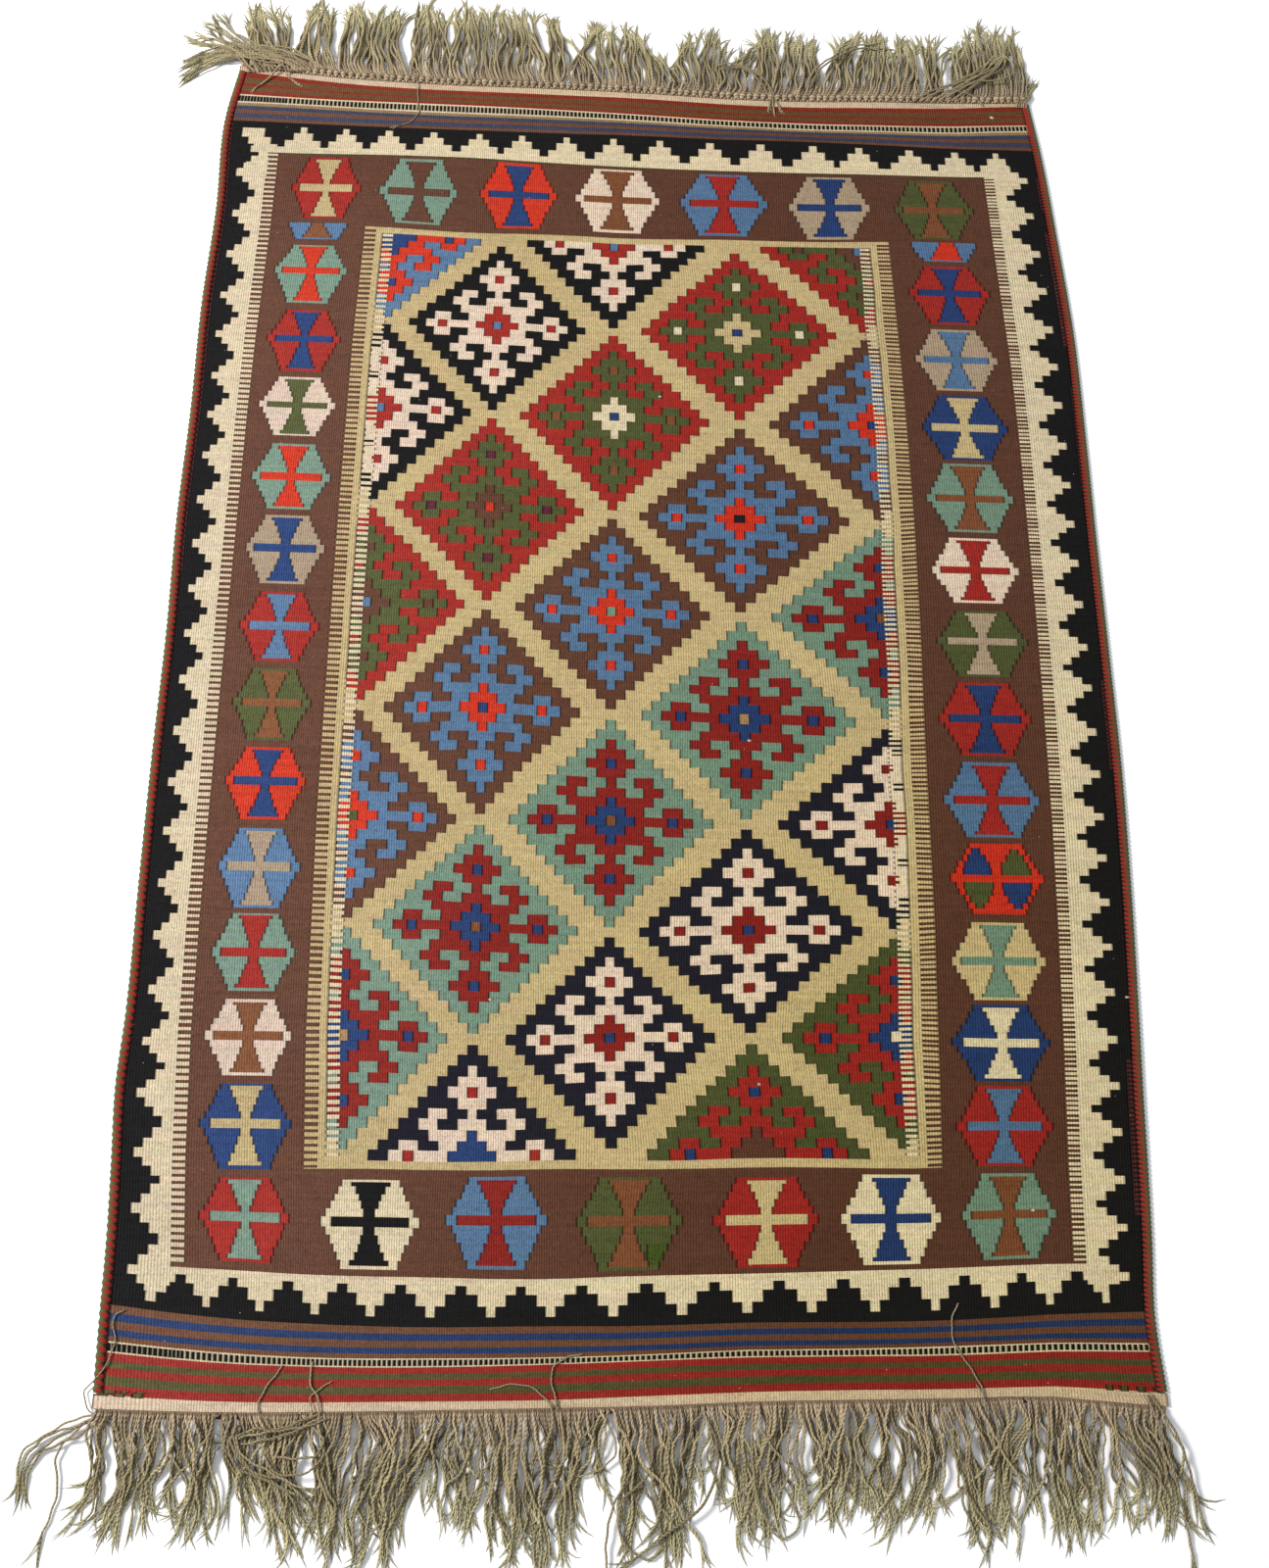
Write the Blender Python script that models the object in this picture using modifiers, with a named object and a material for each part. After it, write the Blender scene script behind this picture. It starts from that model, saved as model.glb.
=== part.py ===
"""Kilim rug, flat on a floor: a woven web, an overcast selvedge on each long edge, and a fringe
of locks at each end. Metres, +Z up. The origin is the middle of the web's underside, +X runs
across the rug and +Y along it, towards the end with the row of knots."""

import math

import bmesh
import bpy
import numpy as np

# The web.
CLOTH_THICKNESS = 0.0026
CLOTH_CELLS_ACROSS = 20
CLOTH_CELLS_ALONG = 36
GAP = 0.0003  # what neighbouring pieces keep between them

# The overcast selvedges.
SELVEDGE_WIDTH = 0.009
SELVEDGE_HEIGHT = 0.0045
SELVEDGE_TOP_Y = 0.7695
SELVEDGE_BOTTOM_Y = -0.7680

# The low unevenness near the rug's rim.
RIM_LIFT = 0.0016
RIM_BAND = 0.11
RIM_WAVE_ALONG = 0.37
RIM_WAVE_ACROSS = 0.29

# Both long edges bulge: where they lie at each distance along the rug.
SIDES = np.array(
    [
        (0.770, -0.5050, 0.4935),
        (0.700, -0.5155, 0.5010),
        (0.560, -0.5150, 0.5110),
        (0.420, -0.5195, 0.5185),
        (0.280, -0.5185, 0.5190),
        (0.140, -0.5205, 0.5180),
        (0.000, -0.5180, 0.5180),
        (-0.140, -0.5185, 0.5175),
        (-0.280, -0.5175, 0.5130),
        (-0.420, -0.5160, 0.5060),
        (-0.490, -0.5180, 0.5020),
        (-0.560, -0.5140, 0.4990),
        (-0.630, -0.5105, 0.4950),
        (-0.700, -0.5090, 0.4900),
        (-0.770, -0.5070, 0.4940),
    ],
    dtype=[("y", float), ("left", float), ("right", float)],
)

# Both ends bow: where the web stops at each place across the rug.
ENDS = np.array(
    [
        (-0.507, 0.7790, -0.7810),
        (-0.450, 0.7720, -0.7830),
        (-0.380, 0.7660, -0.7845),
        (-0.280, 0.7620, -0.7840),
        (-0.130, 0.7630, -0.7818),
        (0.000, 0.7615, -0.7795),
        (0.120, 0.7585, -0.7752),
        (0.200, 0.7595, -0.7742),
        (0.300, 0.7638, -0.7728),
        (0.380, 0.7665, -0.7714),
        (0.440, 0.7695, -0.7765),
        (0.494, 0.7720, -0.7804),
    ],
    dtype=[("x", float), ("top", float), ("bottom", float)],
)

# How the locks lie: how far each reaches outwards past its strip, and how far its tip lies to
# the right of its root, at each place across the rug.
TOP_FLOW = np.array(
    [
        (-0.503, 0.020, -0.066),
        (-0.494, 0.042, -0.056),
        (-0.486, 0.066, -0.046),
        (-0.477, 0.074, -0.038),
        (-0.440, 0.082, -0.024),
        (-0.410, 0.092, -0.008),
        (-0.360, 0.098, -0.005),
        (-0.320, 0.090, -0.011),
        (-0.290, 0.100, -0.015),
        (-0.275, 0.104, -0.006),
        (-0.230, 0.106, -0.010),
        (-0.190, 0.106, -0.008),
        (-0.140, 0.100, -0.012),
        (-0.105, 0.096, -0.016),
        (-0.080, 0.086, -0.024),
        (-0.058, 0.072, -0.020),
        (-0.045, 0.082, -0.010),
        (0.005, 0.084, -0.005),
        (0.022, 0.052, -0.006),
        (0.040, 0.040, -0.006),
        (0.052, 0.080, -0.007),
        (0.085, 0.084, 0.000),
        (0.100, 0.066, 0.008),
        (0.112, 0.044, 0.016),
        (0.125, 0.084, 0.015),
        (0.145, 0.094, 0.012),
        (0.190, 0.086, 0.009),
        (0.207, 0.074, 0.008),
        (0.216, 0.080, 0.019),
        (0.270, 0.094, 0.020),
        (0.295, 0.082, 0.016),
        (0.320, 0.084, 0.020),
        (0.345, 0.076, 0.015),
        (0.368, 0.080, 0.011),
        (0.384, 0.070, 0.012),
        (0.400, 0.080, 0.009),
        (0.430, 0.104, 0.006),
        (0.468, 0.100, 0.003),
        (0.484, 0.082, 0.008),
        (0.491, 0.050, 0.013),
    ],
    dtype=[("x", float), ("reach", float), ("drift", float)],
)
BOTTOM_FLOW = np.array(
    [
        (-0.503, 0.034, -0.058),
        (-0.495, 0.092, -0.018),
        (-0.480, 0.100, -0.012),
        (-0.462, 0.112, -0.012),
        (-0.447, 0.070, -0.004),
        (-0.420, 0.094, -0.004),
        (-0.387, 0.090, -0.001),
        (-0.378, 0.056, 0.006),
        (-0.366, 0.084, 0.016),
        (-0.348, 0.116, 0.016),
        (-0.320, 0.110, 0.009),
        (-0.297, 0.092, 0.002),
        (-0.285, 0.120, 0.002),
        (-0.260, 0.112, 0.000),
        (-0.215, 0.122, 0.001),
        (-0.195, 0.076, -0.003),
        (-0.168, 0.092, 0.001),
        (-0.140, 0.122, 0.005),
        (-0.070, 0.128, 0.001),
        (-0.055, 0.074, 0.001),
        (-0.038, 0.040, 0.010),
        (-0.027, 0.124, 0.030),
        (0.000, 0.130, 0.026),
        (0.028, 0.122, 0.012),
        (0.042, 0.074, 0.003),
        (0.062, 0.072, 0.006),
        (0.088, 0.116, 0.007),
        (0.125, 0.104, 0.004),
        (0.160, 0.088, 0.003),
        (0.193, 0.092, 0.008),
        (0.228, 0.112, 0.008),
        (0.246, 0.080, 0.020),
        (0.262, 0.100, 0.026),
        (0.278, 0.124, 0.014),
        (0.325, 0.120, 0.010),
        (0.343, 0.064, 0.004),
        (0.355, 0.122, 0.004),
        (0.400, 0.122, 0.012),
        (0.420, 0.092, 0.010),
        (0.450, 0.102, 0.010),
        (0.478, 0.102, 0.022),
        (0.490, 0.094, 0.027),
    ],
    dtype=[("x", float), ("reach", float), ("drift", float)],
)

# A fringe: its strip, its locks' pitch, the width and height of a lock at its neck and at its
# tip, and its sections from neck to tip, as shares of its reach.
TOP_FRINGE = {
    "end": "top",
    "outward": 1.0,
    "strip_width": 0.012,
    "strip_height": 0.0042,
    "pitch": 0.0088,
    "neck": (0.0062, 0.0042),
    "tip": (0.0030, 0.0018),
    "sections": (0.0, 0.4, 0.75, 1.0),
    "flow": TOP_FLOW,
}
BOTTOM_FRINGE = {
    "end": "bottom",
    "outward": -1.0,
    "strip_width": 0.0055,
    "strip_height": 0.0036,
    "pitch": 0.0080,
    "neck": (0.0056, 0.0040),
    "tip": (0.0028, 0.0018),
    "sections": (0.0, 0.3, 0.65, 1.0),
    "flow": BOTTOM_FLOW,
}
FRINGE_LEFT_X = -0.5030
FRINGE_RIGHT_X = 0.4905
NECK_LENGTH = 0.004  # how far straight out of the strip a lock's neck lies
REACH_SPREAD = 0.07  # how much neighbouring locks differ in reach, as a share
REACH_TURN = 0.38  # the part of a wave of reaches from one lock to the next
LOCK_SWAY = 0.0016  # how far a lock snakes to each side, with its neighbours
SWAY_TURN = 0.07  # the part of a wave of snaking from one lock to the next
TIP_CURL = 1.6  # above 1, so that a lock leaves its strip straight and bends later
LEVEL_SHARE = 0.4  # by this share of its reach a lock lies on the floor
FAR = 0.130  # a distance from the strip at which locks are kept FAR_PITCH apart
FAR_PITCH = 0.0042

# Plain colours, linear.
WEB_COLOUR = (0.20, 0.07, 0.045)
SELVEDGE_COLOUR = (0.22, 0.06, 0.04)
TOP_YARN_COLOUR = (0.29, 0.24, 0.15)
BOTTOM_YARN_COLOUR = (0.27, 0.22, 0.14)
WOOL_ROUGHNESS = 0.92


def clear_scene():
    for old in list(bpy.data.objects):
        bpy.data.objects.remove(old, do_unlink=True)


def add_collection(name):
    group = bpy.data.collections.new(name)
    bpy.context.scene.collection.children.link(group)
    return group


def add_wool(name, colour):
    material = bpy.data.materials.new(name)
    material.use_nodes = True
    shader = material.node_tree.nodes["Principled BSDF"]
    shader.inputs["Base Color"].default_value = (*colour, 1.0)
    shader.inputs["Roughness"].default_value = WOOL_ROUGHNESS
    shader.inputs["Metallic"].default_value = 0.0
    return material


def smooth_line(known_at, known, at):
    """A smooth curve through the known values: between two of them it is a cubic, whose slope at
    each value follows from its two neighbours."""
    order = np.argsort(known_at)
    known_at, known = known_at[order], known[order]
    slope = np.gradient(known, known_at)
    at = np.clip(at, known_at[0], known_at[-1])
    i = np.clip(np.searchsorted(known_at, at, side="right") - 1, 0, len(known_at) - 2)
    span = known_at[i + 1] - known_at[i]
    t = (at - known_at[i]) / span
    return (
        known[i] * (2 * t**3 - 3 * t**2 + 1)
        + slope[i] * span * (t**3 - 2 * t**2 + t)
        + known[i + 1] * (3 * t**2 - 2 * t**3)
        + slope[i + 1] * span * (t**3 - t**2)
    )


def side_x(side, y):
    return smooth_line(SIDES["y"], SIDES[side], y)


def end_y(end, x):
    return smooth_line(ENDS["x"], ENDS[end], x)


def rim_lift(x, y):
    """How high the underside lies: nothing in the middle, and a low swell near the rim."""
    to_side = np.minimum(x - side_x("left", y), side_x("right", y) - x)
    to_end = np.minimum(end_y("top", x) - y, y - end_y("bottom", x))
    near = 1.0 - np.clip(np.minimum(to_side, to_end) / RIM_BAND, 0.0, 1.0)
    wave = np.sin(math.tau * y / RIM_WAVE_ALONG) * np.cos(math.tau * x / RIM_WAVE_ACROSS)
    return RIM_LIFT * near**2 * (3 - 2 * near) * np.maximum(wave, 0.0)


def add_object(name, mesh, material, group):
    made = bpy.data.objects.new(name, mesh)
    group.objects.link(made)
    made.data.materials.append(material)
    return made


def web_point(across, along):
    """Where the web's underside lies, for shares of its width and length, each 0 to 1."""
    at_end = ENDS["x"][0] + across * (ENDS["x"][-1] - ENDS["x"][0])
    top, bottom = end_y("top", at_end), end_y("bottom", at_end)
    y = bottom + (top - bottom) * along
    inset = SELVEDGE_WIDTH + GAP
    left, right = side_x("left", y) + inset, side_x("right", y) - inset
    x = left + (right - left) * across
    return x, y, rim_lift(x, y)


def web_side(side):
    """The stations down one long edge of the web: x, y and z of each."""
    along = np.linspace(0.0, 1.0, CLOTH_CELLS_ALONG + 1)
    return web_point(0.0 if side == "left" else 1.0, along)


def web_end(end, at_x):
    """The web's end as its cells make it, straight from one to the next: its y and z at each x."""
    across = np.linspace(0.0, 1.0, CLOTH_CELLS_ACROSS + 1)
    x, y, z = web_point(across, 1.0 if end == "top" else 0.0)
    return np.interp(at_x, x, y), np.interp(at_x, x, z)


def build_cloth(group):
    """A flat grid drawn out to the rug's outline, then given the web's thickness."""
    bm = bmesh.new()
    bmesh.ops.create_grid(
        bm, x_segments=CLOTH_CELLS_ACROSS, y_segments=CLOTH_CELLS_ALONG, size=0.5
    )
    grid = np.array([v.co[:2] for v in bm.verts]) + 0.5
    for vertex, place in zip(bm.verts, zip(*web_point(grid[:, 0], grid[:, 1]))):
        vertex.co = place
    mesh = bpy.data.meshes.new("kilim_cloth")
    bm.to_mesh(mesh)
    bm.free()
    cloth = add_object("kilim_cloth", mesh, add_wool("flat_woven_wool", WEB_COLOUR), group)
    thickness = cloth.modifiers.new("thickness", "SOLIDIFY")
    thickness.thickness = CLOTH_THICKNESS
    thickness.offset = 1.0
    thickness.use_even_offset = False


def build_selvedge(name, side, outward, group):
    """A flattened round binding beside one long edge of the web, from station to station."""
    web_x, web_y, web_z = web_side(side)
    inner = (web_y > SELVEDGE_BOTTOM_Y) & (web_y < SELVEDGE_TOP_Y)
    y = np.concatenate([[SELVEDGE_BOTTOM_Y], web_y[inner], [SELVEDGE_TOP_Y]])
    x = np.interp(y, web_y, web_x) + outward * (GAP + SELVEDGE_WIDTH / 2)
    flatness = SELVEDGE_HEIGHT / SELVEDGE_WIDTH
    z = (np.interp(y, web_y, web_z) + SELVEDGE_HEIGHT / 2) / flatness
    curve = bpy.data.curves.new(name, "CURVE")
    curve.dimensions = "3D"
    curve.bevel_depth = SELVEDGE_WIDTH / 2
    curve.bevel_resolution = 2
    curve.use_fill_caps = True
    line = curve.splines.new("POLY")
    line.points.add(len(y) - 1)
    line.points.foreach_set("co", np.column_stack([x, y, z, np.ones_like(x)]).ravel())
    binding = add_object(name, curve, add_wool(name + "_wool", SELVEDGE_COLOUR), group)
    binding.scale = (1.0, 1.0, flatness)


def bend_without_crossing(root_x, bend):
    """Each lock's bend, evened out so that where the locks would be FAR from their strip, each
    stays FAR_PITCH from the next. It is half way between pushing the right one of a pair and
    pushing the left one."""
    least = np.arange(len(root_x)) * FAR_PITCH
    place = root_x + bend * FAR**TIP_CURL - least
    pushed_right = np.maximum.accumulate(place)
    pushed_left = np.minimum.accumulate(place[::-1])[::-1]
    place = (pushed_right + pushed_left) / 2 + least
    return (place - root_x) / FAR**TIP_CURL


def strip_of_roots(bm, spec, count):
    """The strip along the web's end: a row of cells, as tall as the roots, one for each lock.
    It returns the front face of each cell, from left to right."""
    outward = spec["outward"]
    grid = bmesh.ops.create_grid(bm, x_segments=count, y_segments=1, size=0.5)
    for vertex in grid["verts"]:
        x = FRINGE_LEFT_X + (vertex.co.x + 0.5) * (FRINGE_RIGHT_X - FRINGE_LEFT_X)
        distance = GAP + (vertex.co.y + 0.5) * spec["strip_width"]
        end_line, z = web_end(spec["end"], x)
        vertex.co = (x, end_line + outward * distance, z)
    raised = bmesh.ops.extrude_face_region(bm, geom=bm.faces[:], use_keep_orig=True)
    upper = [made for made in raised["geom"] if isinstance(made, bmesh.types.BMVert)]
    bmesh.ops.translate(bm, verts=upper, vec=(0.0, 0.0, spec["strip_height"]))
    bmesh.ops.recalc_face_normals(bm, faces=bm.faces)
    front = [face for face in bm.faces if face.normal.y * outward > 0.5]
    return sorted(front, key=lambda face: face.calc_center_median().x)


def build_fringe(name, spec, colour, group):
    """A strip at the web's end, from which each lock is drawn out in short sections that taper,
    lie on the floor and follow the table of how the locks lie."""
    count = round((FRINGE_RIGHT_X - FRINGE_LEFT_X) / spec["pitch"])
    order = np.arange(count)
    root_x = FRINGE_LEFT_X + (order + 0.5) / count * (FRINGE_RIGHT_X - FRINGE_LEFT_X)
    outward = spec["outward"]
    end_line, root_z = web_end(spec["end"], root_x)
    root_y = end_line + outward * (GAP + spec["strip_width"])
    flow = spec["flow"]
    reach = np.interp(root_x, flow["x"], flow["reach"])
    drift = np.interp(root_x, flow["x"], flow["drift"])
    bend = bend_without_crossing(root_x, drift / reach**TIP_CURL)
    reach = reach * (1.0 + REACH_SPREAD * np.sin(math.tau * order * REACH_TURN))

    bm = bmesh.new()
    lock_of = bm.faces.layers.int.new("lock")
    ends = strip_of_roots(bm, spec, count)
    corners = []
    for i, face in enumerate(ends):
        face[lock_of] = i
        middle = face.calc_center_median()
        corners.append(
            [(np.sign(v.co.x - middle.x), v.co.z > middle.z) for v in face.verts]
        )
    for share in spec["sections"]:
        width, height = (
            neck + (tip - neck) * share for neck, tip in zip(spec["neck"], spec["tip"])
        )
        away = reach * share
        sway = LOCK_SWAY * share * np.sin(math.tau * (share + order * SWAY_TURN))
        x = root_x + bend * away**TIP_CURL + sway
        y = root_y + outward * (NECK_LENGTH + away)
        z = root_z * max(0.0, 1.0 - share / LEVEL_SHARE)
        # The section stands square to the lock's course at this share of it.
        course_x = bend * TIP_CURL * away ** (TIP_CURL - 1.0) * reach
        course = np.hypot(course_x, reach)
        side_x_step = reach / course * width / 2
        side_y_step = -outward * course_x / course * width / 2
        ends = bmesh.ops.extrude_discrete_faces(bm, faces=ends)["faces"]
        for face in ends:
            i = face[lock_of]
            for vertex, (side, is_top) in zip(face.verts, corners[i]):
                vertex.co.x = x[i] + side * side_x_step[i]
                vertex.co.y = y[i] + side * side_y_step[i]
                vertex.co.z = z[i] + (height if is_top else 0.0)
    mesh = bpy.data.meshes.new(name)
    bm.to_mesh(mesh)
    bm.free()
    add_object(name, mesh, add_wool(name + "_yarn", colour), group)


clear_scene()
rug = add_collection("kilim_rug")
build_cloth(rug)
build_selvedge("selvedge_left", "left", -1.0, rug)
build_selvedge("selvedge_right", "right", 1.0, rug)
build_fringe("fringe_top", TOP_FRINGE, TOP_YARN_COLOUR, rug)
build_fringe("fringe_bottom", BOTTOM_FRINGE, BOTTOM_YARN_COLOUR, rug)
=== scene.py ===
"""A kilim rug lying on a pale studio floor, seen from above its near end. The woven web, its two
overcast selvedges and its two fringes are separate pieces, and each stands where its CAD solid is."""

import math

import bpy
import numpy as np
from mathutils import Matrix, Vector


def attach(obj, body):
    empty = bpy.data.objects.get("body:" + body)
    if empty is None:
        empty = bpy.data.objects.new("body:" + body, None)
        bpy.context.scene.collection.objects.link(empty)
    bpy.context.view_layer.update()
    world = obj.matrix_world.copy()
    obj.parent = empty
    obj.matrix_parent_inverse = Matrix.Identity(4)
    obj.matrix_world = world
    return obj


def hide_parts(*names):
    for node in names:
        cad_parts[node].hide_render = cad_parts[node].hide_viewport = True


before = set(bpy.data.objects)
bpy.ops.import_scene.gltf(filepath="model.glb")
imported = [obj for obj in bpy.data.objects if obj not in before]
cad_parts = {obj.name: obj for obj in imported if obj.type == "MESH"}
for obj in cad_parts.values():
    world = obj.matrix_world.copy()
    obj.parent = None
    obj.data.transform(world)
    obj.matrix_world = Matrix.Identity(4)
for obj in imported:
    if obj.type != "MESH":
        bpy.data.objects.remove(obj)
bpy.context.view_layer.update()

# ---------------------------------------------------------------------------------------------
# The woven web: a weft-faced wool sheet, 2.6 mm thick, lying loose on the floor and held by its
# own weight. Its pattern is charted in warps across and in millimetres along.
# ---------------------------------------------------------------------------------------------

CLOTH_THICKNESS = 0.0026
GAP = 0.0003
SELVEDGE_WIDTH = 0.009
RIM_LIFT = 0.0016
RIM_BAND = 0.11
RIM_WAVE_ALONG = 0.37
RIM_WAVE_ACROSS = 0.29

# Where the rug's long edges lie (metres): y, left x, right x.
SIDES = np.array(
    [
        (0.770, -0.5050, 0.4935),
        (0.700, -0.5155, 0.5010),
        (0.560, -0.5150, 0.5110),
        (0.420, -0.5195, 0.5185),
        (0.280, -0.5185, 0.5190),
        (0.140, -0.5205, 0.5180),
        (0.000, -0.5180, 0.5180),
        (-0.140, -0.5185, 0.5175),
        (-0.280, -0.5175, 0.5130),
        (-0.420, -0.5160, 0.5060),
        (-0.490, -0.5180, 0.5020),
        (-0.560, -0.5140, 0.4990),
        (-0.630, -0.5105, 0.4950),
        (-0.700, -0.5090, 0.4900),
        (-0.770, -0.5070, 0.4940),
    ]
)

# Where the web stops at its ends (metres): x, top y, bottom y.
ENDS = np.array(
    [
        (-0.507, 0.7790, -0.7810),
        (-0.450, 0.7720, -0.7830),
        (-0.380, 0.7660, -0.7845),
        (-0.280, 0.7620, -0.7840),
        (-0.130, 0.7630, -0.7818),
        (0.000, 0.7615, -0.7795),
        (0.120, 0.7585, -0.7752),
        (0.200, 0.7595, -0.7742),
        (0.300, 0.7638, -0.7728),
        (0.380, 0.7665, -0.7714),
        (0.440, 0.7695, -0.7765),
        (0.494, 0.7720, -0.7804),
    ]
)

# The chart's millimetres run right and down from a corner of the rug: this is the point of them
# that lies at the world's origin.
CHART_ORIGIN = (507.0, 770.0)

# How the warps run: the number of a warp, counted from the middle column of diamonds, and where
# it lies across the rug (mm) at each distance down it (mm).
WARP_NUMBER = np.array(
    [-173, -123.5, -108, -90, -72, -55, -37, -18, 0, 18, 37, 55, 73, 92, 110, 124.5, 175], float
)
WARP_COURSE = np.array(
    [
        (0, 50, 174, 211, 253.1, 294.9, 335, 378.6, 425.4, 471, 518.2, 569.2, 618, 668.2, 721.6, 769, 804, 942),
        (60, 49, 173, 210.5, 252.9, 294.6, 334.8, 378.4, 425.3, 471, 518.2, 569.2, 618, 668.2, 721.7, 769.5, 805, 943.4),
        (125, 48, 172, 210, 252.6, 294.3, 334.5, 378.2, 425.3, 471, 518.2, 569.1, 618, 668.3, 721.9, 770, 806, 945),
        (180, 47.3, 171, 209.3, 252.1, 294, 334.3, 378.1, 425.2, 471, 518.2, 569.1, 618, 668.3, 722, 770.5, 807, 947.4),
        (240, 46.5, 170, 208.2, 252.8, 296.6, 334.9, 378.7, 424.8, 470.8, 515.9, 565.3, 616.6, 661.5, 718.8, 768.3, 808, 950),
        (290, 45, 168.3, 207, 252.4, 294, 334.4, 376.8, 423.1, 470.2, 516.6, 569.8, 617.9, 667.9, 717.2, 770, 810, 952.3),
        (340, 43.5, 166.7, 205, 247.6, 291.9, 333.7, 377.5, 423.5, 470.1, 517.8, 568.7, 617.5, 669.1, 721.2, 769.5, 811.4, 954.7),
        (390, 42, 165, 203.5, 246.5, 290.8, 333.3, 376.6, 424.7, 470.3, 516.8, 568.2, 617.9, 670.5, 723.7, 772.5, 813, 957),
        (445, 41.5, 164.5, 202.8, 247, 290.9, 331.1, 376.6, 425.3, 471.5, 516.8, 568.3, 618.4, 669.4, 721.3, 772.8, 814, 957.8),
        (500, 41, 164, 202.5, 246.4, 292.6, 331, 376.6, 425.5, 472.3, 516.6, 567.3, 617.6, 666.5, 722.9, 774.6, 815, 958.5),
        (555, 41, 163.5, 202.3, 246.7, 289.7, 331.5, 374.8, 424.4, 471.7, 515.5, 567, 616.4, 669.1, 721.9, 773.4, 815.5, 958.5),
        (610, 41, 163, 201.1, 243.6, 289.5, 332, 376.6, 424.6, 470.2, 513.9, 565.7, 614.8, 668.7, 726, 775.1, 816, 958.5),
        (670, 41, 163, 201.6, 248.4, 288, 332, 377.5, 425.9, 470.6, 512.9, 563.2, 614.1, 669.8, 720.3, 771.9, 815.5, 958.5),
        (730, 41, 163, 201, 248, 294.4, 332.3, 377.5, 424.7, 469.9, 515.3, 564.6, 613.2, 661.8, 717, 771.4, 815, 958.5),
        (790, 41, 163, 201.5, 248.5, 290.2, 331.9, 375.9, 423.5, 469.6, 514.5, 566.2, 614.8, 666.1, 718.2, 772.1, 813.5, 957.8),
        (850, 41, 163, 200.4, 245.1, 290.3, 332.7, 376, 423.3, 469.8, 517.1, 566.7, 614.2, 665.9, 722, 770.3, 812, 957),
        (912, 41.2, 163.2, 201, 246.1, 289, 332.2, 375.4, 423.6, 470.8, 515.2, 565.8, 615.4, 666, 718.8, 767.5, 811, 955.8),
        (975, 41.5, 163.5, 201.2, 248.2, 294.3, 333.4, 376.4, 424.1, 470.9, 515.3, 564.5, 613.4, 661.5, 717.7, 768.9, 810.3, 954.5),
        (1033, 42, 164.8, 202.3, 249.4, 291.5, 332.9, 376, 422.7, 470, 514.7, 565.9, 614.4, 664.5, 716.3, 767.5, 809.3, 952.2),
        (1090, 42.5, 166, 202, 246.7, 289.5, 333.3, 376.3, 423.8, 469.6, 513.2, 564, 613.2, 664, 718.1, 765.6, 808.3, 950),
        (1148, 43.8, 167.3, 203.8, 248.3, 290.5, 333.6, 378.9, 425.6, 470.6, 513.1, 561.9, 612.5, 663.4, 713.3, 763.8, 806.2, 947.2),
        (1205, 45, 168.5, 205.9, 250.7, 294, 334, 380, 425, 470.6, 515.1, 562, 613, 657.4, 711.4, 760.9, 804.5, 944.5),
        (1265, 48, 171.8, 209.6, 253.1, 294.2, 335.8, 378.8, 426.7, 471.9, 516.1, 568.2, 615.6, 663.6, 711, 761.9, 802.4, 941.2),
        (1325, 51, 175, 211.8, 253.6, 297.8, 337.1, 379.6, 424.7, 473, 522.7, 571, 616.7, 665.7, 714.2, 762.8, 800, 938),
        (1372, 55, 178, 213, 254.3, 296.4, 336.7, 379.9, 426.2, 471.2, 518, 568.7, 616.4, 663, 711.9, 758.8, 797, 936.3),
        (1420, 59, 181, 215, 255.8, 297.8, 338, 380.9, 426.8, 471.5, 518.1, 568.6, 616, 662.2, 710.6, 757, 795, 934.5),
        (1550, 66, 186, 218, 257.8, 299.8, 340, 382.2, 427.3, 471.5, 518, 568.6, 616, 662, 710, 755, 791, 931),
    ]
)
LEFT_WARP, RIGHT_WARP = -190.5, 195.5
SELVEDGE_ROWS = (0.0, 1538.6)

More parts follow.
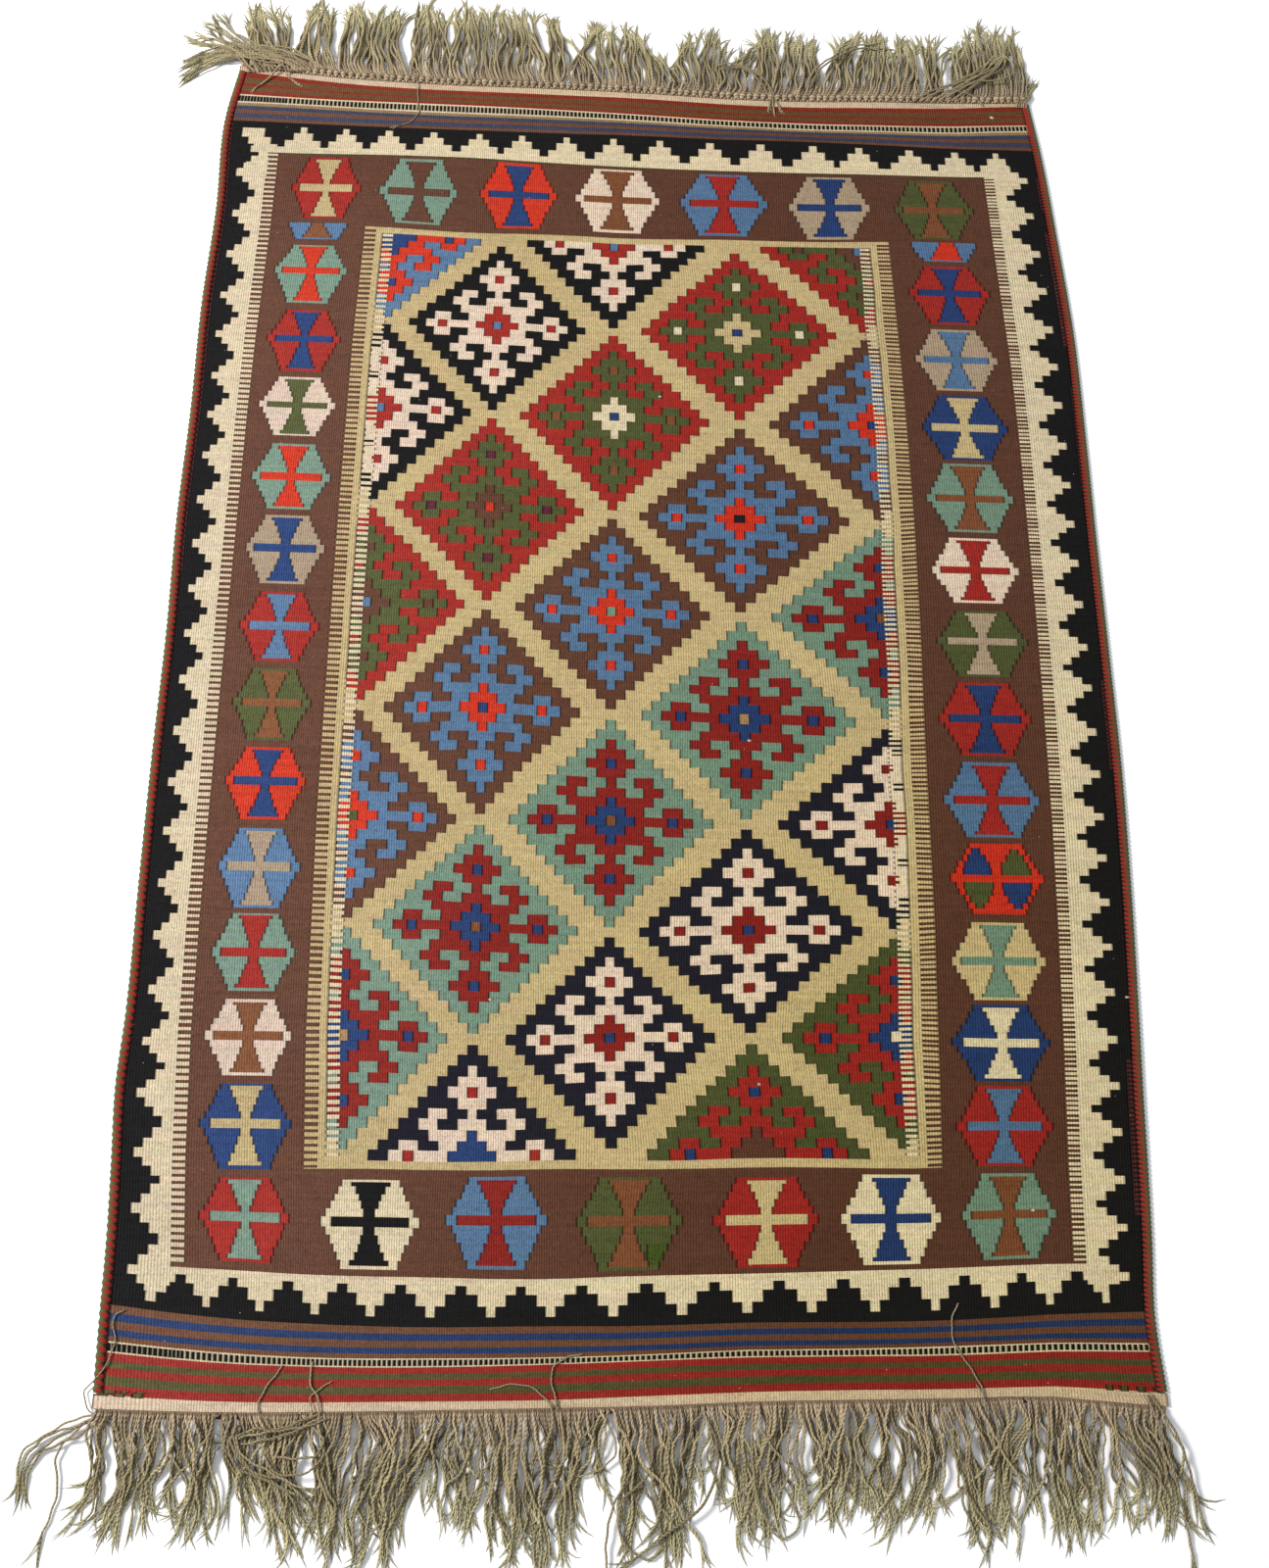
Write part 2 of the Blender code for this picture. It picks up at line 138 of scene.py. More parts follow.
# How the wefts run: the row's nominal distance down the rug, and where it lies (mm down) at
# every 60 mm across.
WEFT_X = np.arange(0.0, 1021.0, 60.0)
WEFT_COURSE = np.array(
    [
        (17, 0.4, 6.9, 12.3, 16, 17.3, 17, 17, 17, 17.2, 18.6, 20.4, 21, 20.1, 17.4, 14.9, 11.8, 5.8, 1.4),
        (40, 35.5, 37.5, 38.7, 38.6, 38.5, 38.5, 39, 39.9, 41, 42.8, 44.6, 45.3, 44.9, 43.3, 41.7, 39.4, 34.9, 31.5),
        (52, 48.8, 49.5, 50.4, 51.5, 51.9, 51.8, 51.5, 51.4, 51.7, 53, 54.6, 55.4, 55.1, 53.4, 52.4, 51, 45.9, 42),
        (76, 77, 77.5, 77.7, 77.6, 77.3, 77, 76.7, 76.1, 74.7, 74.8, 75.4, 74.3, 73.4, 73.4, 74.2, 75, 74, 73),
        (121, 125, 123.9, 122.4, 120.5, 119.4, 119.3, 121.2, 122.9, 123.8, 124.2, 124, 123.2, 122, 120.4, 119.5, 118.6, 116.5, 115),
        (229, 231, 230.5, 229.6, 228.1, 230.1, 231.9, 230.6, 230.4, 231.7, 230.4, 227.9, 227.2, 226, 222.9, 220.7, 220, 219.4, 219),
        (268, 269.4, 269, 268.4, 266.8, 263.8, 267.7, 267.6, 266, 267.4, 263.9, 267.3, 263.4, 260.1, 263.3, 262, 261.5, 261.1, 260.8),
        (315, 315.7, 315.5, 315.2, 314.5, 313.5, 315.9, 316.3, 317.7, 315, 312.6, 315.3, 311.3, 310.3, 310.8, 311.8, 311.5, 311.3, 311.1),
        (362, 362, 362, 362, 361.7, 362, 362.7, 363.9, 366.7, 366.9, 362.2, 361.8, 362, 361.7, 360.8, 361.5, 361.5, 361.5, 361.5),
        (422, 421, 421, 421, 420.9, 423.9, 422.7, 422.5, 425.5, 425.9, 423.9, 423.4, 421.5, 419.4, 419.6, 422.2, 422.2, 422.2, 422.2),
        (482.5, 480.5, 480.5, 480.6, 480.5, 480.5, 483.7, 486.1, 483.7, 482.8, 485.6, 488.3, 487.2, 485.4, 483.9, 483.5, 483.5, 483.5, 483.5),
        (545, 542.2, 542.2, 542.4, 543.1, 542.5, 543.3, 544.1, 547.9, 548.7, 552.1, 553.4, 551.3, 546.1, 545.4, 546.7, 546.8, 546.8, 546.8),
        (607.5, 604, 603.9, 604.1, 605.5, 607.5, 604.9, 607.8, 609.2, 612.4, 613.2, 612.7, 612.4, 611.7, 615.2, 610, 610, 610, 610),
        (670, 666.5, 666.4, 666.6, 666.5, 667.2, 663.9, 666.1, 668.1, 673.5, 671.6, 669.7, 672.6, 675.2, 676.8, 671.6, 671.5, 671.5, 671.5),
        (731.5, 728, 728, 728.1, 728.6, 729.4, 728.8, 730, 732.4, 733.2, 735.2, 736, 735.5, 735.6, 732.2, 732.2, 732, 732, 732),
        (792, 788.3, 788.2, 788.4, 788.9, 788, 788.6, 788.6, 792.6, 792.4, 796.5, 798.9, 797.4, 793.7, 792.5, 794.3, 794.2, 794.2, 794.2),
        (853, 849, 848.9, 849.2, 850.3, 853.2, 850.7, 852.2, 854.4, 856.5, 856.1, 858.2, 857.9, 859.1, 860.7, 857, 857, 857, 857),
        (914, 912.2, 912.2, 912.3, 913.3, 916.9, 911.3, 911.3, 916.4, 918.3, 916.4, 914.2, 917.1, 919.3, 917.3, 915.8, 915.8, 915.8, 915.8),
        (975.5, 976, 976, 976, 976, 975.7, 978.5, 977.6, 975.9, 976.8, 978.4, 978.3, 977.9, 977.2, 974.4, 975.1, 975, 975, 975),
        (1034, 1033.2, 1033.2, 1033.2, 1033.7, 1033, 1036, 1039.8, 1037.3, 1035.1, 1037.3, 1037.3, 1035.7, 1031.5, 1032, 1033.3, 1033.2, 1033.2, 1033.2),
        (1092, 1090, 1090, 1090, 1090.8, 1092, 1092.1, 1094.9, 1096, 1097.7, 1095.3, 1093.2, 1092.1, 1092.3, 1095.6, 1091, 1091, 1091, 1091),
        (1149, 1148.8, 1148.8, 1148.7, 1149.2, 1151.8, 1149.9, 1150.8, 1153.5, 1155, 1153, 1149.2, 1146, 1148.5, 1148.8, 1147.2, 1147.2, 1147.2, 1147.2),
        (1205.5, 1207, 1207, 1207, 1206.9, 1205.7, 1208.5, 1209.6, 1209.1, 1205.6, 1204.5, 1205.4, 1204.1, 1204.1, 1200.9, 1203, 1203, 1203, 1203),
        (1248, 1249.3, 1249.3, 1249.3, 1249.4, 1247.9, 1250.8, 1251.4, 1247.4, 1244, 1245.7, 1249.4, 1247.1, 1242.9, 1240.7, 1243.7, 1243.6, 1243.6, 1243.6),
        (1290, 1291.2, 1291.2, 1291.2, 1291.8, 1291.4, 1292.6, 1292.7, 1290.2, 1287.3, 1287.6, 1286.6, 1287.6, 1286.6, 1286.4, 1284, 1283.7, 1283.7, 1283.7),
        (1328, 1329, 1329, 1329, 1329.3, 1328.1, 1329.1, 1328.4, 1326.5, 1326.2, 1326, 1323.5, 1322.9, 1323.5, 1323.6, 1320.4, 1320, 1320, 1320),
        (1336, 1336, 1336, 1336, 1336.2, 1335.8, 1336.8, 1336.5, 1334.8, 1334.7, 1334.1, 1332.4, 1331.5, 1332.1, 1331.8, 1328.4, 1328, 1328, 1328),
        (1431, 1424, 1427, 1430.1, 1433.5, 1435.2, 1436, 1437.3, 1437.1, 1434.7, 1433.1, 1431.8, 1430.2, 1428.4, 1426.7, 1424.2, 1421.8, 1421.2, 1421),
        (1476, 1460, 1467.6, 1473.6, 1477.1, 1479.5, 1480.7, 1480.2, 1479.5, 1479.5, 1478.1, 1476, 1475.6, 1475.2, 1474.2, 1471.5, 1468, 1466.1, 1465),
        (1503, 1492, 1498.3, 1503.5, 1506.8, 1508.1, 1508, 1507.8, 1506.9, 1505.5, 1503, 1500.4, 1499.7, 1498.9, 1497.5, 1495.5, 1493.6, 1493.9, 1494.5),
        (1510, 1502, 1508, 1512.6, 1514.8, 1515.9, 1515.8, 1514.8, 1513.2, 1511.1, 1508.9, 1507, 1506.3, 1505.8, 1505.4, 1503.5, 1501.4, 1501.6, 1502),
        (1540, 1537.5, 1541.8, 1544.6, 1545.3, 1545.2, 1544.6, 1544.4, 1543.5, 1541.2, 1538.9, 1536.8, 1535.6, 1534.8, 1534.5, 1533, 1531.8, 1535.1, 1538),
    ]
)
TOP_ROW, BOTTOM_ROW = 8.0, 1552.0


def smooth_line(known_at, known, at):
    """A smooth curve through the known values: between two of them it is a cubic, whose slope at
    each value follows from its two neighbours."""
    order = np.argsort(known_at)
    known_at, known = known_at[order], known[order]
    slope = np.gradient(known, known_at)
    at = np.clip(at, known_at[0], known_at[-1])
    i = np.clip(np.searchsorted(known_at, at, side="right") - 1, 0, len(known_at) - 2)
    span = known_at[i + 1] - known_at[i]
    t = (at - known_at[i]) / span
    return (
        known[i] * (2 * t**3 - 3 * t**2 + 1)
        + slope[i] * span * (t**3 - 2 * t**2 + t)
        + known[i + 1] * (3 * t**2 - 2 * t**3)
        + slope[i + 1] * span * (t**3 - t**2)
    )


def side_x(side, y):
    return smooth_line(SIDES[:, 0], SIDES[:, 1 if side == "left" else 2], y)


def end_y(end, x):
    return smooth_line(ENDS[:, 0], ENDS[:, 1 if end == "top" else 2], x)


def rim_lift(x, y):
    """How high the underside lies: nothing in the middle, and a low swell near the rim."""
    to_side = np.minimum(x - side_x("left", y), side_x("right", y) - x)
    to_end = np.minimum(end_y("top", x) - y, y - end_y("bottom", x))
    near = 1.0 - np.clip(np.minimum(to_side, to_end) / RIM_BAND, 0.0, 1.0)
    wave = np.sin(math.tau * y / RIM_WAVE_ALONG) * np.cos(math.tau * x / RIM_WAVE_ACROSS)
    return RIM_LIFT * near**2 * (3 - 2 * near) * np.maximum(wave, 0.0)


def between(stations, values, at):
    """Linear steps between the rows of values, one row for each station, at each place."""
    at = np.clip(at, stations[0], stations[-1])
    i = np.clip(np.searchsorted(stations, at, side="right") - 1, 0, len(stations) - 2)
    t = (at - stations[i]) / (stations[i + 1] - stations[i])
    column = np.arange(len(at))
    return values[i, column] * (1 - t) + values[i + 1, column] * t


def weft_y(x, row):
    """Where a row of weft lies (mm down) at each place across: the charted courses, and the
    web's true ends beyond the first and the last of them."""
    across = (x - CHART_ORIGIN[0]) / 1000
    lines = [CHART_ORIGIN[1] - 1000 * end_y("top", across)]
    lines += [smooth_line(WEFT_X, course[1:], x) for course in WEFT_COURSE]
    lines += [CHART_ORIGIN[1] - 1000 * end_y("bottom", across)]
    stations = np.concatenate([[TOP_ROW], WEFT_COURSE[:, 0], [BOTTOM_ROW]])
    return between(stations, np.array(lines), row)


def warp_x(number, down):
    """Where a warp lies (mm across) at each distance down: the charted courses between the guard
    combs, and evenly spread from each comb to the selvedge, or to the edge beyond its ends."""
    inner = np.clip(number, WARP_NUMBER[0], WARP_NUMBER[-1])
    lines = np.array([smooth_line(WARP_NUMBER, course[1:], inner) for course in WARP_COURSE])
    x = between(WARP_COURSE[:, 0], lines, down)
    y = (CHART_ORIGIN[1] - down) / 1000
    beside = np.clip((down - SELVEDGE_ROWS[0]) / 0.6, 0, 1) * np.clip((SELVEDGE_ROWS[1] - down) / 0.6, 0, 1)
    inset = (SELVEDGE_WIDTH + GAP) * beside
    left = CHART_ORIGIN[0] + 1000 * (side_x("left", y) + inset)
    right = CHART_ORIGIN[0] + 1000 * (side_x("right", y) - inset)
    to_left = np.clip((WARP_NUMBER[0] - number) / (WARP_NUMBER[0] - LEFT_WARP), 0, 1)
    to_right = np.clip((number - WARP_NUMBER[-1]) / (RIGHT_WARP - WARP_NUMBER[-1]), 0, 1)
    x = x + (left - x) * to_left
    return x + (right - x) * to_right


def weave_point(number, row):
    """Chart millimetres, across and down, of a warp's number and a weft row."""
    x = warp_x(number, row)
    x = warp_x(number, weft_y(x, row))
    return x, weft_y(x, row)


def weave_of(x, y):
    """The warp number and weft row at a place in chart millimetres."""
    row = float(y)
    for _ in range(4):
        row += y - float(weft_y(np.array([x]), np.array([row]))[0])
    numbers = np.arange(LEFT_WARP, RIGHT_WARP + 0.1, 0.5)
    return float(np.interp(x, warp_x(numbers, np.full_like(numbers, y)), numbers)), row


# The dyes.
DYES = {
    "black": "#181717",
    "navy black": "#1d1c24",
    "cream": "#c4b494",
    "end cream": "#baa488",
    "khaki": "#ae9a6f",
    "white": "#c7b29d",
    "brown": "#543629",
    "end brown": "#5e3e2c",
    "olive": "#3f3a22",
    "end olive": "#5a4029",
    "tan": "#836c49",
    "rust": "#6f442b",
    "red": "#8b2721",
    "dark red": "#78221d",
    "orange": "#b32f1e",
    "light blue": "#4c6682",
    "royal blue": "#25375f",
    "end blue": "#37394c",
    "band blue": "#243354",
    "teal": "#667d6b",
    "green": "#474b2b",
    "fresh green": "#3d4a1d",
    "grey": "#96836c",
    "plum": "#532330",
    "top red": "#742b1d",
    "end red": "#822821",
    "end green": "#4a4529",
    "hem cream": "#b9a488",
    "edge red": "#4c2826",
    "light tan": "#94744d",
}
DYE_NAMES = list(DYES)
WARPS_PER_CELL = 4.0
HALF_STEPS = np.arange(LEFT_WARP, RIGHT_WARP + 0.1, 0.5)
ROW_STEPS = np.arange(TOP_ROW, BOTTOM_ROW + 0.1, 1.0)
number_at, row_at = np.meshgrid(
    (HALF_STEPS[:-1] + HALF_STEPS[1:]) / 2, (ROW_STEPS[:-1] + ROW_STEPS[1:]) / 2
)
chart = np.full(number_at.shape, DYE_NAMES.index("brown"))


def dye(mask, name):
    chart[mask] = DYE_NAMES.index(name)


def inside(value, low, high):
    return (value >= low) & (value < high)


# The field: a khaki lattice of stepped diamonds inside a frame with a comb on each side.
FIELD_TOP, FIELD_BOTTOM = 238.0, 1328.0
FRAME_TOP, FRAME_BOTTOM = 229.0, 1336.0
COMB_LEFT = {"outer": -123.5, "strip": -118.0, "inner": -114.5, "field": -109.0}
COMB_RIGHT = {"field": 110.5, "inner": 115.5, "strip": 119.0, "outer": 124.5}
DIAMOND_ROWS = np.array([243.7, 362.0, 482.5, 607.5, 731.5, 853.0, 975.5, 1092.0, 1205.5, 1322.6])
CELLS_TO_NEXT_ROW = 11.0
cell_row = np.interp(
    row_at,
    np.concatenate([[DIAMOND_ROWS[0] - 120], DIAMOND_ROWS, [DIAMOND_ROWS[-1] + 110]]),
    CELLS_TO_NEXT_ROW * np.arange(-1, len(DIAMOND_ROWS) + 1),
)
# A quarter of a diamond, from its middle outwards: g ground, m motif, c core, d centre.
DIAMOND = [
    "dccmmmmmmgg",
    "ccmmggmmgg",
    "cmmmmgggg",
    "mmggmmgg",
    "mggmmgg",
    "mmgggg",
    "mmmgg",
    "mmgg",
    "mgg",
    "gg",
    "g",
]
FLOWER_CENTRE, FLOWER_ROW = 6.5, 6.0

# Each diamond: its column, its row, and its ground, motif, core, centre and flower dyes.
DIAMONDS = [
    (0, 0, "light blue", "orange", "royal blue", "royal blue", "royal blue"),
    (2, 0, "black", "white", "red", "light blue", "red"),
    (4, 0, "red", "green", "brown", "light blue", "brown"),
    (1, 1, "black", "white", "red", "light blue", "red"),
    (3, 1, "red", "green", "khaki", "royal blue", "cream"),
    (0, 2, "black", "white", "red", "light blue", "red"),
    (2, 2, "red", "green", "cream", "royal blue", "rust"),
    (4, 2, "brown", "light blue", "orange", "royal blue", "orange"),
    (1, 3, "red", "green", "brown", "orange", "plum"),
    (3, 3, "brown", "light blue", "orange", "navy black", "orange"),
    (0, 4, "red", "green", "brown", "light blue", "brown"),
    (2, 4, "brown", "light blue", "orange", "teal", "orange"),
    (4, 4, "teal", "dark red", "royal blue", "rust", "royal blue"),
    (1, 5, "brown", "light blue", "orange", "royal blue", "orange"),
    (3, 5, "teal", "dark red", "royal blue", "light tan", "royal blue"),
    (0, 6, "brown", "light blue", "orange", "green", "orange"),
    (2, 6, "teal", "dark red", "royal blue", "rust", "royal blue"),
    (4, 6, "navy black", "white", "dark red", "royal blue", "dark red"),
    (1, 7, "teal", "dark red", "royal blue", "rust", "royal blue"),
    (3, 7, "navy black", "white", "dark red", "royal blue", "dark red"),
    (0, 8, "teal", "dark red", "royal blue", "light tan", "royal blue"),
    (2, 8, "navy black", "white", "dark red", "royal blue", "dark red"),
    (4, 8, "green", "red", "royal blue", "cream", "royal blue"),
    (1, 9, "navy black", "white", "royal blue", "royal blue", "red"),
    (3, 9, "green", "red", "brown", "brown", "royal blue"),
]
COLUMN_WARPS = np.array([-108.0, -55.0, 0.0, 55.0, 110.0])

frame_zone = inside(number_at, COMB_LEFT["outer"], COMB_RIGHT["outer"])
frame_zone &= inside(row_at, FRAME_TOP, FRAME_BOTTOM)
dye(frame_zone, "khaki")
field_zone = inside(number_at, COMB_LEFT["inner"], COMB_RIGHT["inner"])
field_zone &= inside(row_at, FIELD_TOP, FIELD_BOTTOM)
for column, row, ground, motif, core, centre, flower in DIAMONDS:
    along = np.abs(number_at - COLUMN_WARPS[column]) / WARPS_PER_CELL
    down = np.abs(cell_row - CELLS_TO_NEXT_ROW * row)
    near = field_zone & (along < 10.5) & (down < 10.5)
    column_cell = np.floor(along + 0.5).astype(int)
    row_cell = np.floor(down + 0.5).astype(int)
    for cells_down, letters in enumerate(DIAMOND):
        in_row = near & (row_cell == cells_down)
        for cells_across, letter in enumerate(letters):
            name = {"g": ground, "m": motif, "c": core, "d": centre}[letter]
            dye(in_row & (column_cell == cells_across), name)
    dye(near & (np.abs(along - FLOWER_CENTRE) < 0.5) & (down < 0.5), flower)
    dye(near & (along < 0.5) & (np.abs(down - FLOWER_ROW) < 0.5), flower)


def stripes(low, high, top, bottom, count, first, second=None):
    """A comb: stripes across a narrow band of warps, the first dye on the upper half of each."""
    band = inside(number_at, low, high) & inside(row_at, top, bottom)
    upper = ((row_at - top) / (bottom - top) * count) % 1.0 < 0.5
    dye(band & upper, first)
    if second:
        dye(band & ~upper, second)


stripes(COMB_LEFT["outer"], COMB_LEFT["strip"], 230, 1335, 160, "khaki", "brown")
stripes(COMB_RIGHT["strip"], COMB_RIGHT["outer"], 230, 1335, 197, "khaki", "brown")
stripes(COMB_LEFT["inner"], COMB_LEFT["field"], 239, 1327, 150, "cream")
stripes(COMB_RIGHT["field"], COMB_RIGHT["inner"], 239, 1327, 183, "cream")

# The brown border's hexagons: left, right, top, arm and bottom (mm), ground dye, cross dye.
HEXAGONS = [
    (80, 162, 128, 173.5, 219, "red", "khaki"),
    (186, 280, 125, 174, 222, "teal", "brown"),
    (306.5, 400, 125.5, 172.8, 222.8, "orange", "royal blue"),
    (422.3, 525.8, 128.5, 174.3, 223.5, "white", "rust"),
    (550.8, 659, 129.3, 173, 221.8, "light blue", "red"),
    (687, 788, 127, 173.5, 221, "grey", "royal blue"),
    (816, 915, 127, 172, 215, "green", "rust"),
    (68, 153.5, 258.5, 294.6, 341.5, "teal", "orange"),
    (67.3, 151.5, 351.5, 390.4, 435.4, "red", "royal blue"),
    (65, 151.5, 443.8, 480.8, 522, "white", "green"),
    (65, 151.5, 532.7, 575, 616, "teal", "orange"),
    (65, 151.5, 624.6, 665.4, 709.6, "grey", "royal blue"),
    (67, 151.5, 719.2, 760.4, 802, "red", "light blue"),
    (67.7, 149.2, 811, 851, 893.5, "green", "rust"),
    (67, 150.4, 902, 939.6, 982.7, "orange", "royal blue"),
    (67.7, 151, 992, 1033, 1077, "light blue", "grey"),
    (69.6, 153, 1082.7, 1123.5, 1162.7, "teal", "red"),
    (70.4, 155.4, 1171.5, 1207.7, 1247.3, "white", "rust"),
    (73.5, 160.8, 1255, 1293.5, 1336.5, "royal blue", "khaki"),
    (82, 166.5, 1344.6, 1381, 1422.3, "red", "teal"),
    (828.5, 926.5, 255.4, 293.8, 339.2, "red", "royal blue"),
    (829.6, 929.6, 346.5, 389.2, 432.3, "grey", "light blue"),
    (832.3, 933.5, 439.2, 483, 526.5, "royal blue", "khaki"),
    (831.5, 933.5, 531.5, 577.7, 620.8, "teal", "rust"),
    (831.5, 932.3, 629, 670, 711, "white", "red"),
    (831.5, 934, 720.8, 758, 801.5, "green", "grey"),
    (828.5, 929.6, 808.5, 851, 894.2, "red", "royal blue"),
    (826.5, 931.5, 902.7, 946, 987.7, "light blue", "red"),
    (822.7, 922.7, 1080.8, 1122, 1162.7, "khaki", "teal"),
    (818.8, 919.2, 1168, 1207, 1245.4, "royal blue", "cream"),
    (816, 913, 1250.8, 1290.4, 1329, "red", "light blue"),
    (815, 909.6, 1336.5, 1375, 1417, "teal", "rust"),
    (195, 289, 1346, 1385, 1428.5, "cream", "black"),
    (314.5, 411, 1343.3, 1383.3, 1428.3, "light blue", "dark red"),
    (438.5, 540.8, 1342.5, 1383, 1428.8, "green", "rust"),
    (572.3, 675.3, 1341.3, 1381, 1425.5, "red", "khaki"),
    (696, 795, 1338, 1379.5, 1423, "cream", "royal blue"),
]
# From the middle of a hexagon to its top or bottom, as shares: where each step ends, and the
# half width there of the ground and of the cross.
HEXAGON_STEPS = [
    (0.11, 1.00, 0.78),
    (0.29, 0.89, 0.11),
    (0.47, 0.81, 0.17),
    (0.65, 0.72, 0.23),
    (0.83, 0.65, 0.30),
    (0.93, 0.58, 0.38),
    (1.00, 0.58, 0.00),
]


def draw_hexagon(left, right, top, arm, bottom, ground, cross):
    """A stepped hexagon round a cross: a thin arm, and a stem that widens in steps both ways."""
    middle = (left + right) / 2
    centre, arm_row = weave_of(middle, arm)
    half = (weave_of(right, arm)[0] - weave_of(left, arm)[0]) / 2
    top_row, bottom_row = weave_of(middle, top)[1], weave_of(middle, bottom)[1]
    above = np.clip((arm_row - row_at) / (arm_row - top_row), 0, None)
    below = np.clip((row_at - arm_row) / (bottom_row - arm_row), 0, None)
    share = np.maximum(above, below)
    out = np.abs(number_at - centre) / half
    start = 0.0
    for end, ground_half, cross_half in HEXAGON_STEPS:
        ring = inside(share, start, end)
        dye(ring & (out < ground_half), ground)
        dye(ring & (out < cross_half), cross)
        start = end


for hexagon in HEXAGONS:
    draw_hexagon(*hexagon)


def rectangle(left, top, right, bottom, name):
    """A plain block, given by the chart millimetres of its middle lines."""
    middle_x, middle_y = (left + right) / 2, (top + bottom) / 2
    low, high = weave_of(left, middle_y)[0], weave_of(right, middle_y)[0]
    first, last = weave_of(middle_x, top)[1], weave_of(middle_x, bottom)[1]
    dye(inside(number_at, low, high) & inside(row_at, first, last), name)


def stepped(rows, name):
    """Blocks under one another: left, right and top of each, and the bottom of the last."""
    for i in range(len(rows) - 1):
        rectangle(rows[i][0], rows[i][2], rows[i][1], rows[i + 1][2], name)


# The two cut hexagons under the top corners, and the hexagon with four stepped quarters.
stepped([(80.5, 149, 226), (84, 145, 233), (87, 142, 240), (89, 140, 247), (0, 0, 250)], "light blue")
stepped([(107, 122, 226), (104, 125, 232), (101, 128, 238), (97, 131, 243), (0, 0, 247.5)], "rust")
stepped([(834.5, 915, 219.6), (838, 911, 228), (843, 908, 235), (849, 903, 242), (0, 0, 248)], "light blue")
stepped([(870, 888, 219.6), (866, 891, 226), (862, 894, 233), (858.5, 896, 240), (0, 0, 245.5)], "orange")
SPECIAL = (827.7, 927.7, 994, 1032.7, 1072.3)
draw_hexagon(*SPECIAL, "orange", "orange")
for mirror, near_dye, far_dye in ((-1, "royal blue", "green"), (1, "green", "royal blue")):
    for out, half_low, half_high, upper, lower in (
        (20.5, 4.5, 4.5, 1000, 1006),
        (20.5, 9.5, 9.5, 1006, 1014),
        (20.5, 14.0, 14.0, 1014, 1021),
        (20.5, 15.5, 15.5, 1021, 1029),
    ):
        x = 877.7 + mirror * out
        rectangle(x - half_low, upper, x + half_high, lower, near_dye)
        rectangle(x - half_low, 2066 - lower, x + half_high, 2066 - upper, far_dye)

# The guard combs between the brown border and the toothed one.
stripes(-173.0, -168.0, 123, 1429, 187, "cream", "brown")
stripes(170.5, 175.0, 121, 1431, 254, "cream", "brown")

# The toothed border: cream pyramids that point outwards into black.
BORDER_TOP, BORDER_BOTTOM = 121.0, 1431.0
BLACK_TOP, BLACK_BOTTOM = 76.0, 1476.0
outside = (number_at < -173.0) | (number_at >= 175.0)
outside |= (row_at < BORDER_TOP) | (row_at >= BORDER_BOTTOM)
dye(outside, "black")
LEFT_TIPS = (
    155.7, 216.2, 275.5, 334, 388, 445.4, 497.5, 550.8, 607.5, 662.5, 718, 772, 826, 885.1, 943,
    996.5, 1052, 1107.2, 1162.8, 1214.3, 1264.9, 1321.3, 1373.1, 1428.3,
)
RIGHT_TIPS = (
    121, 174.7, 231.5, 286.3, 341.9, 394.3, 448, 503.5, 556, 606.8, 657.1, 709.2, 762.5, 812,
    864.4, 913.5, 961.6, 1008.7, 1057.4, 1105.3, 1153, 1202.8, 1249.5, 1295, 1341.7, 1387.2,
    1433.1,
)
TOP_TIPS = (88, 140, 192, 247, 303, 356, 411, 469, 527, 589, 653, 719, 777, 841, 899, 951)
BOTTOM_TIPS = (43, 94, 144, 195, 247, 303, 360, 416, 475, 540, 603, 665, 726, 784, 842, 896, 952)
# A tooth's steps: the share of the pitch that each spans, and how far out it reaches.
SIDE_STEPS = {"left": (4.6, 7.7, 10.6, 13.7), "right": (4.9, 8.4, 12.0, 15.7)}
STEP_SHARES = (9.0, 0.83, 0.48, 0.165)


def nearest(tips, at):
    """The distance from each place to its nearest tip, as a share of half the local pitch."""
    tips = np.asarray(tips, float)
    pitch = np.gradient(tips)
    i = np.abs(at[:, None] - tips[None, :]).argmin(axis=1)
    return np.abs(at - tips[i]) / (pitch[i] / 2)


rows_1d, numbers_1d = row_at[:, 0], number_at[0]
for side, tips, comb, tip_x in (("left", LEFT_TIPS, -173.0, 10), ("right", RIGHT_TIPS, 175.0, 995)):
    share = nearest([weave_of(tip_x, tip)[1] for tip in tips], rows_1d)[:, None]
    out = (comb - number_at) if side == "left" else (number_at - comb)
    for step_share, reach in zip(STEP_SHARES, SIDE_STEPS[side]):
        zone = (out > 0) & (out < reach) & (share <= step_share)
        dye(zone & inside(row_at, 100, 1450), "cream")
for tips, base, edge, levels in (
    (TOP_TIPS, BORDER_TOP, 82, (112.4, 101.7, 91.0, 81.7)),
    (BOTTOM_TIPS, BORDER_BOTTOM, 1467, (1438.0, 1445.6, 1457.5, 1467.2)),
):
    share = nearest([weave_of(tip, (base + edge) / 2)[0] for tip in tips], numbers_1d)[None, :]
    for step_share, level in zip(STEP_SHARES, levels):
        low, high = sorted((base, level))
        zone = inside(row_at, low, high) & (share <= step_share)
        dye(zone & inside(number_at, -181.0, 183.0), "cream")
dye(inside(row_at, BORDER_TOP, BORDER_TOP + 2) & inside(number_at, -168, 170.5), "olive")
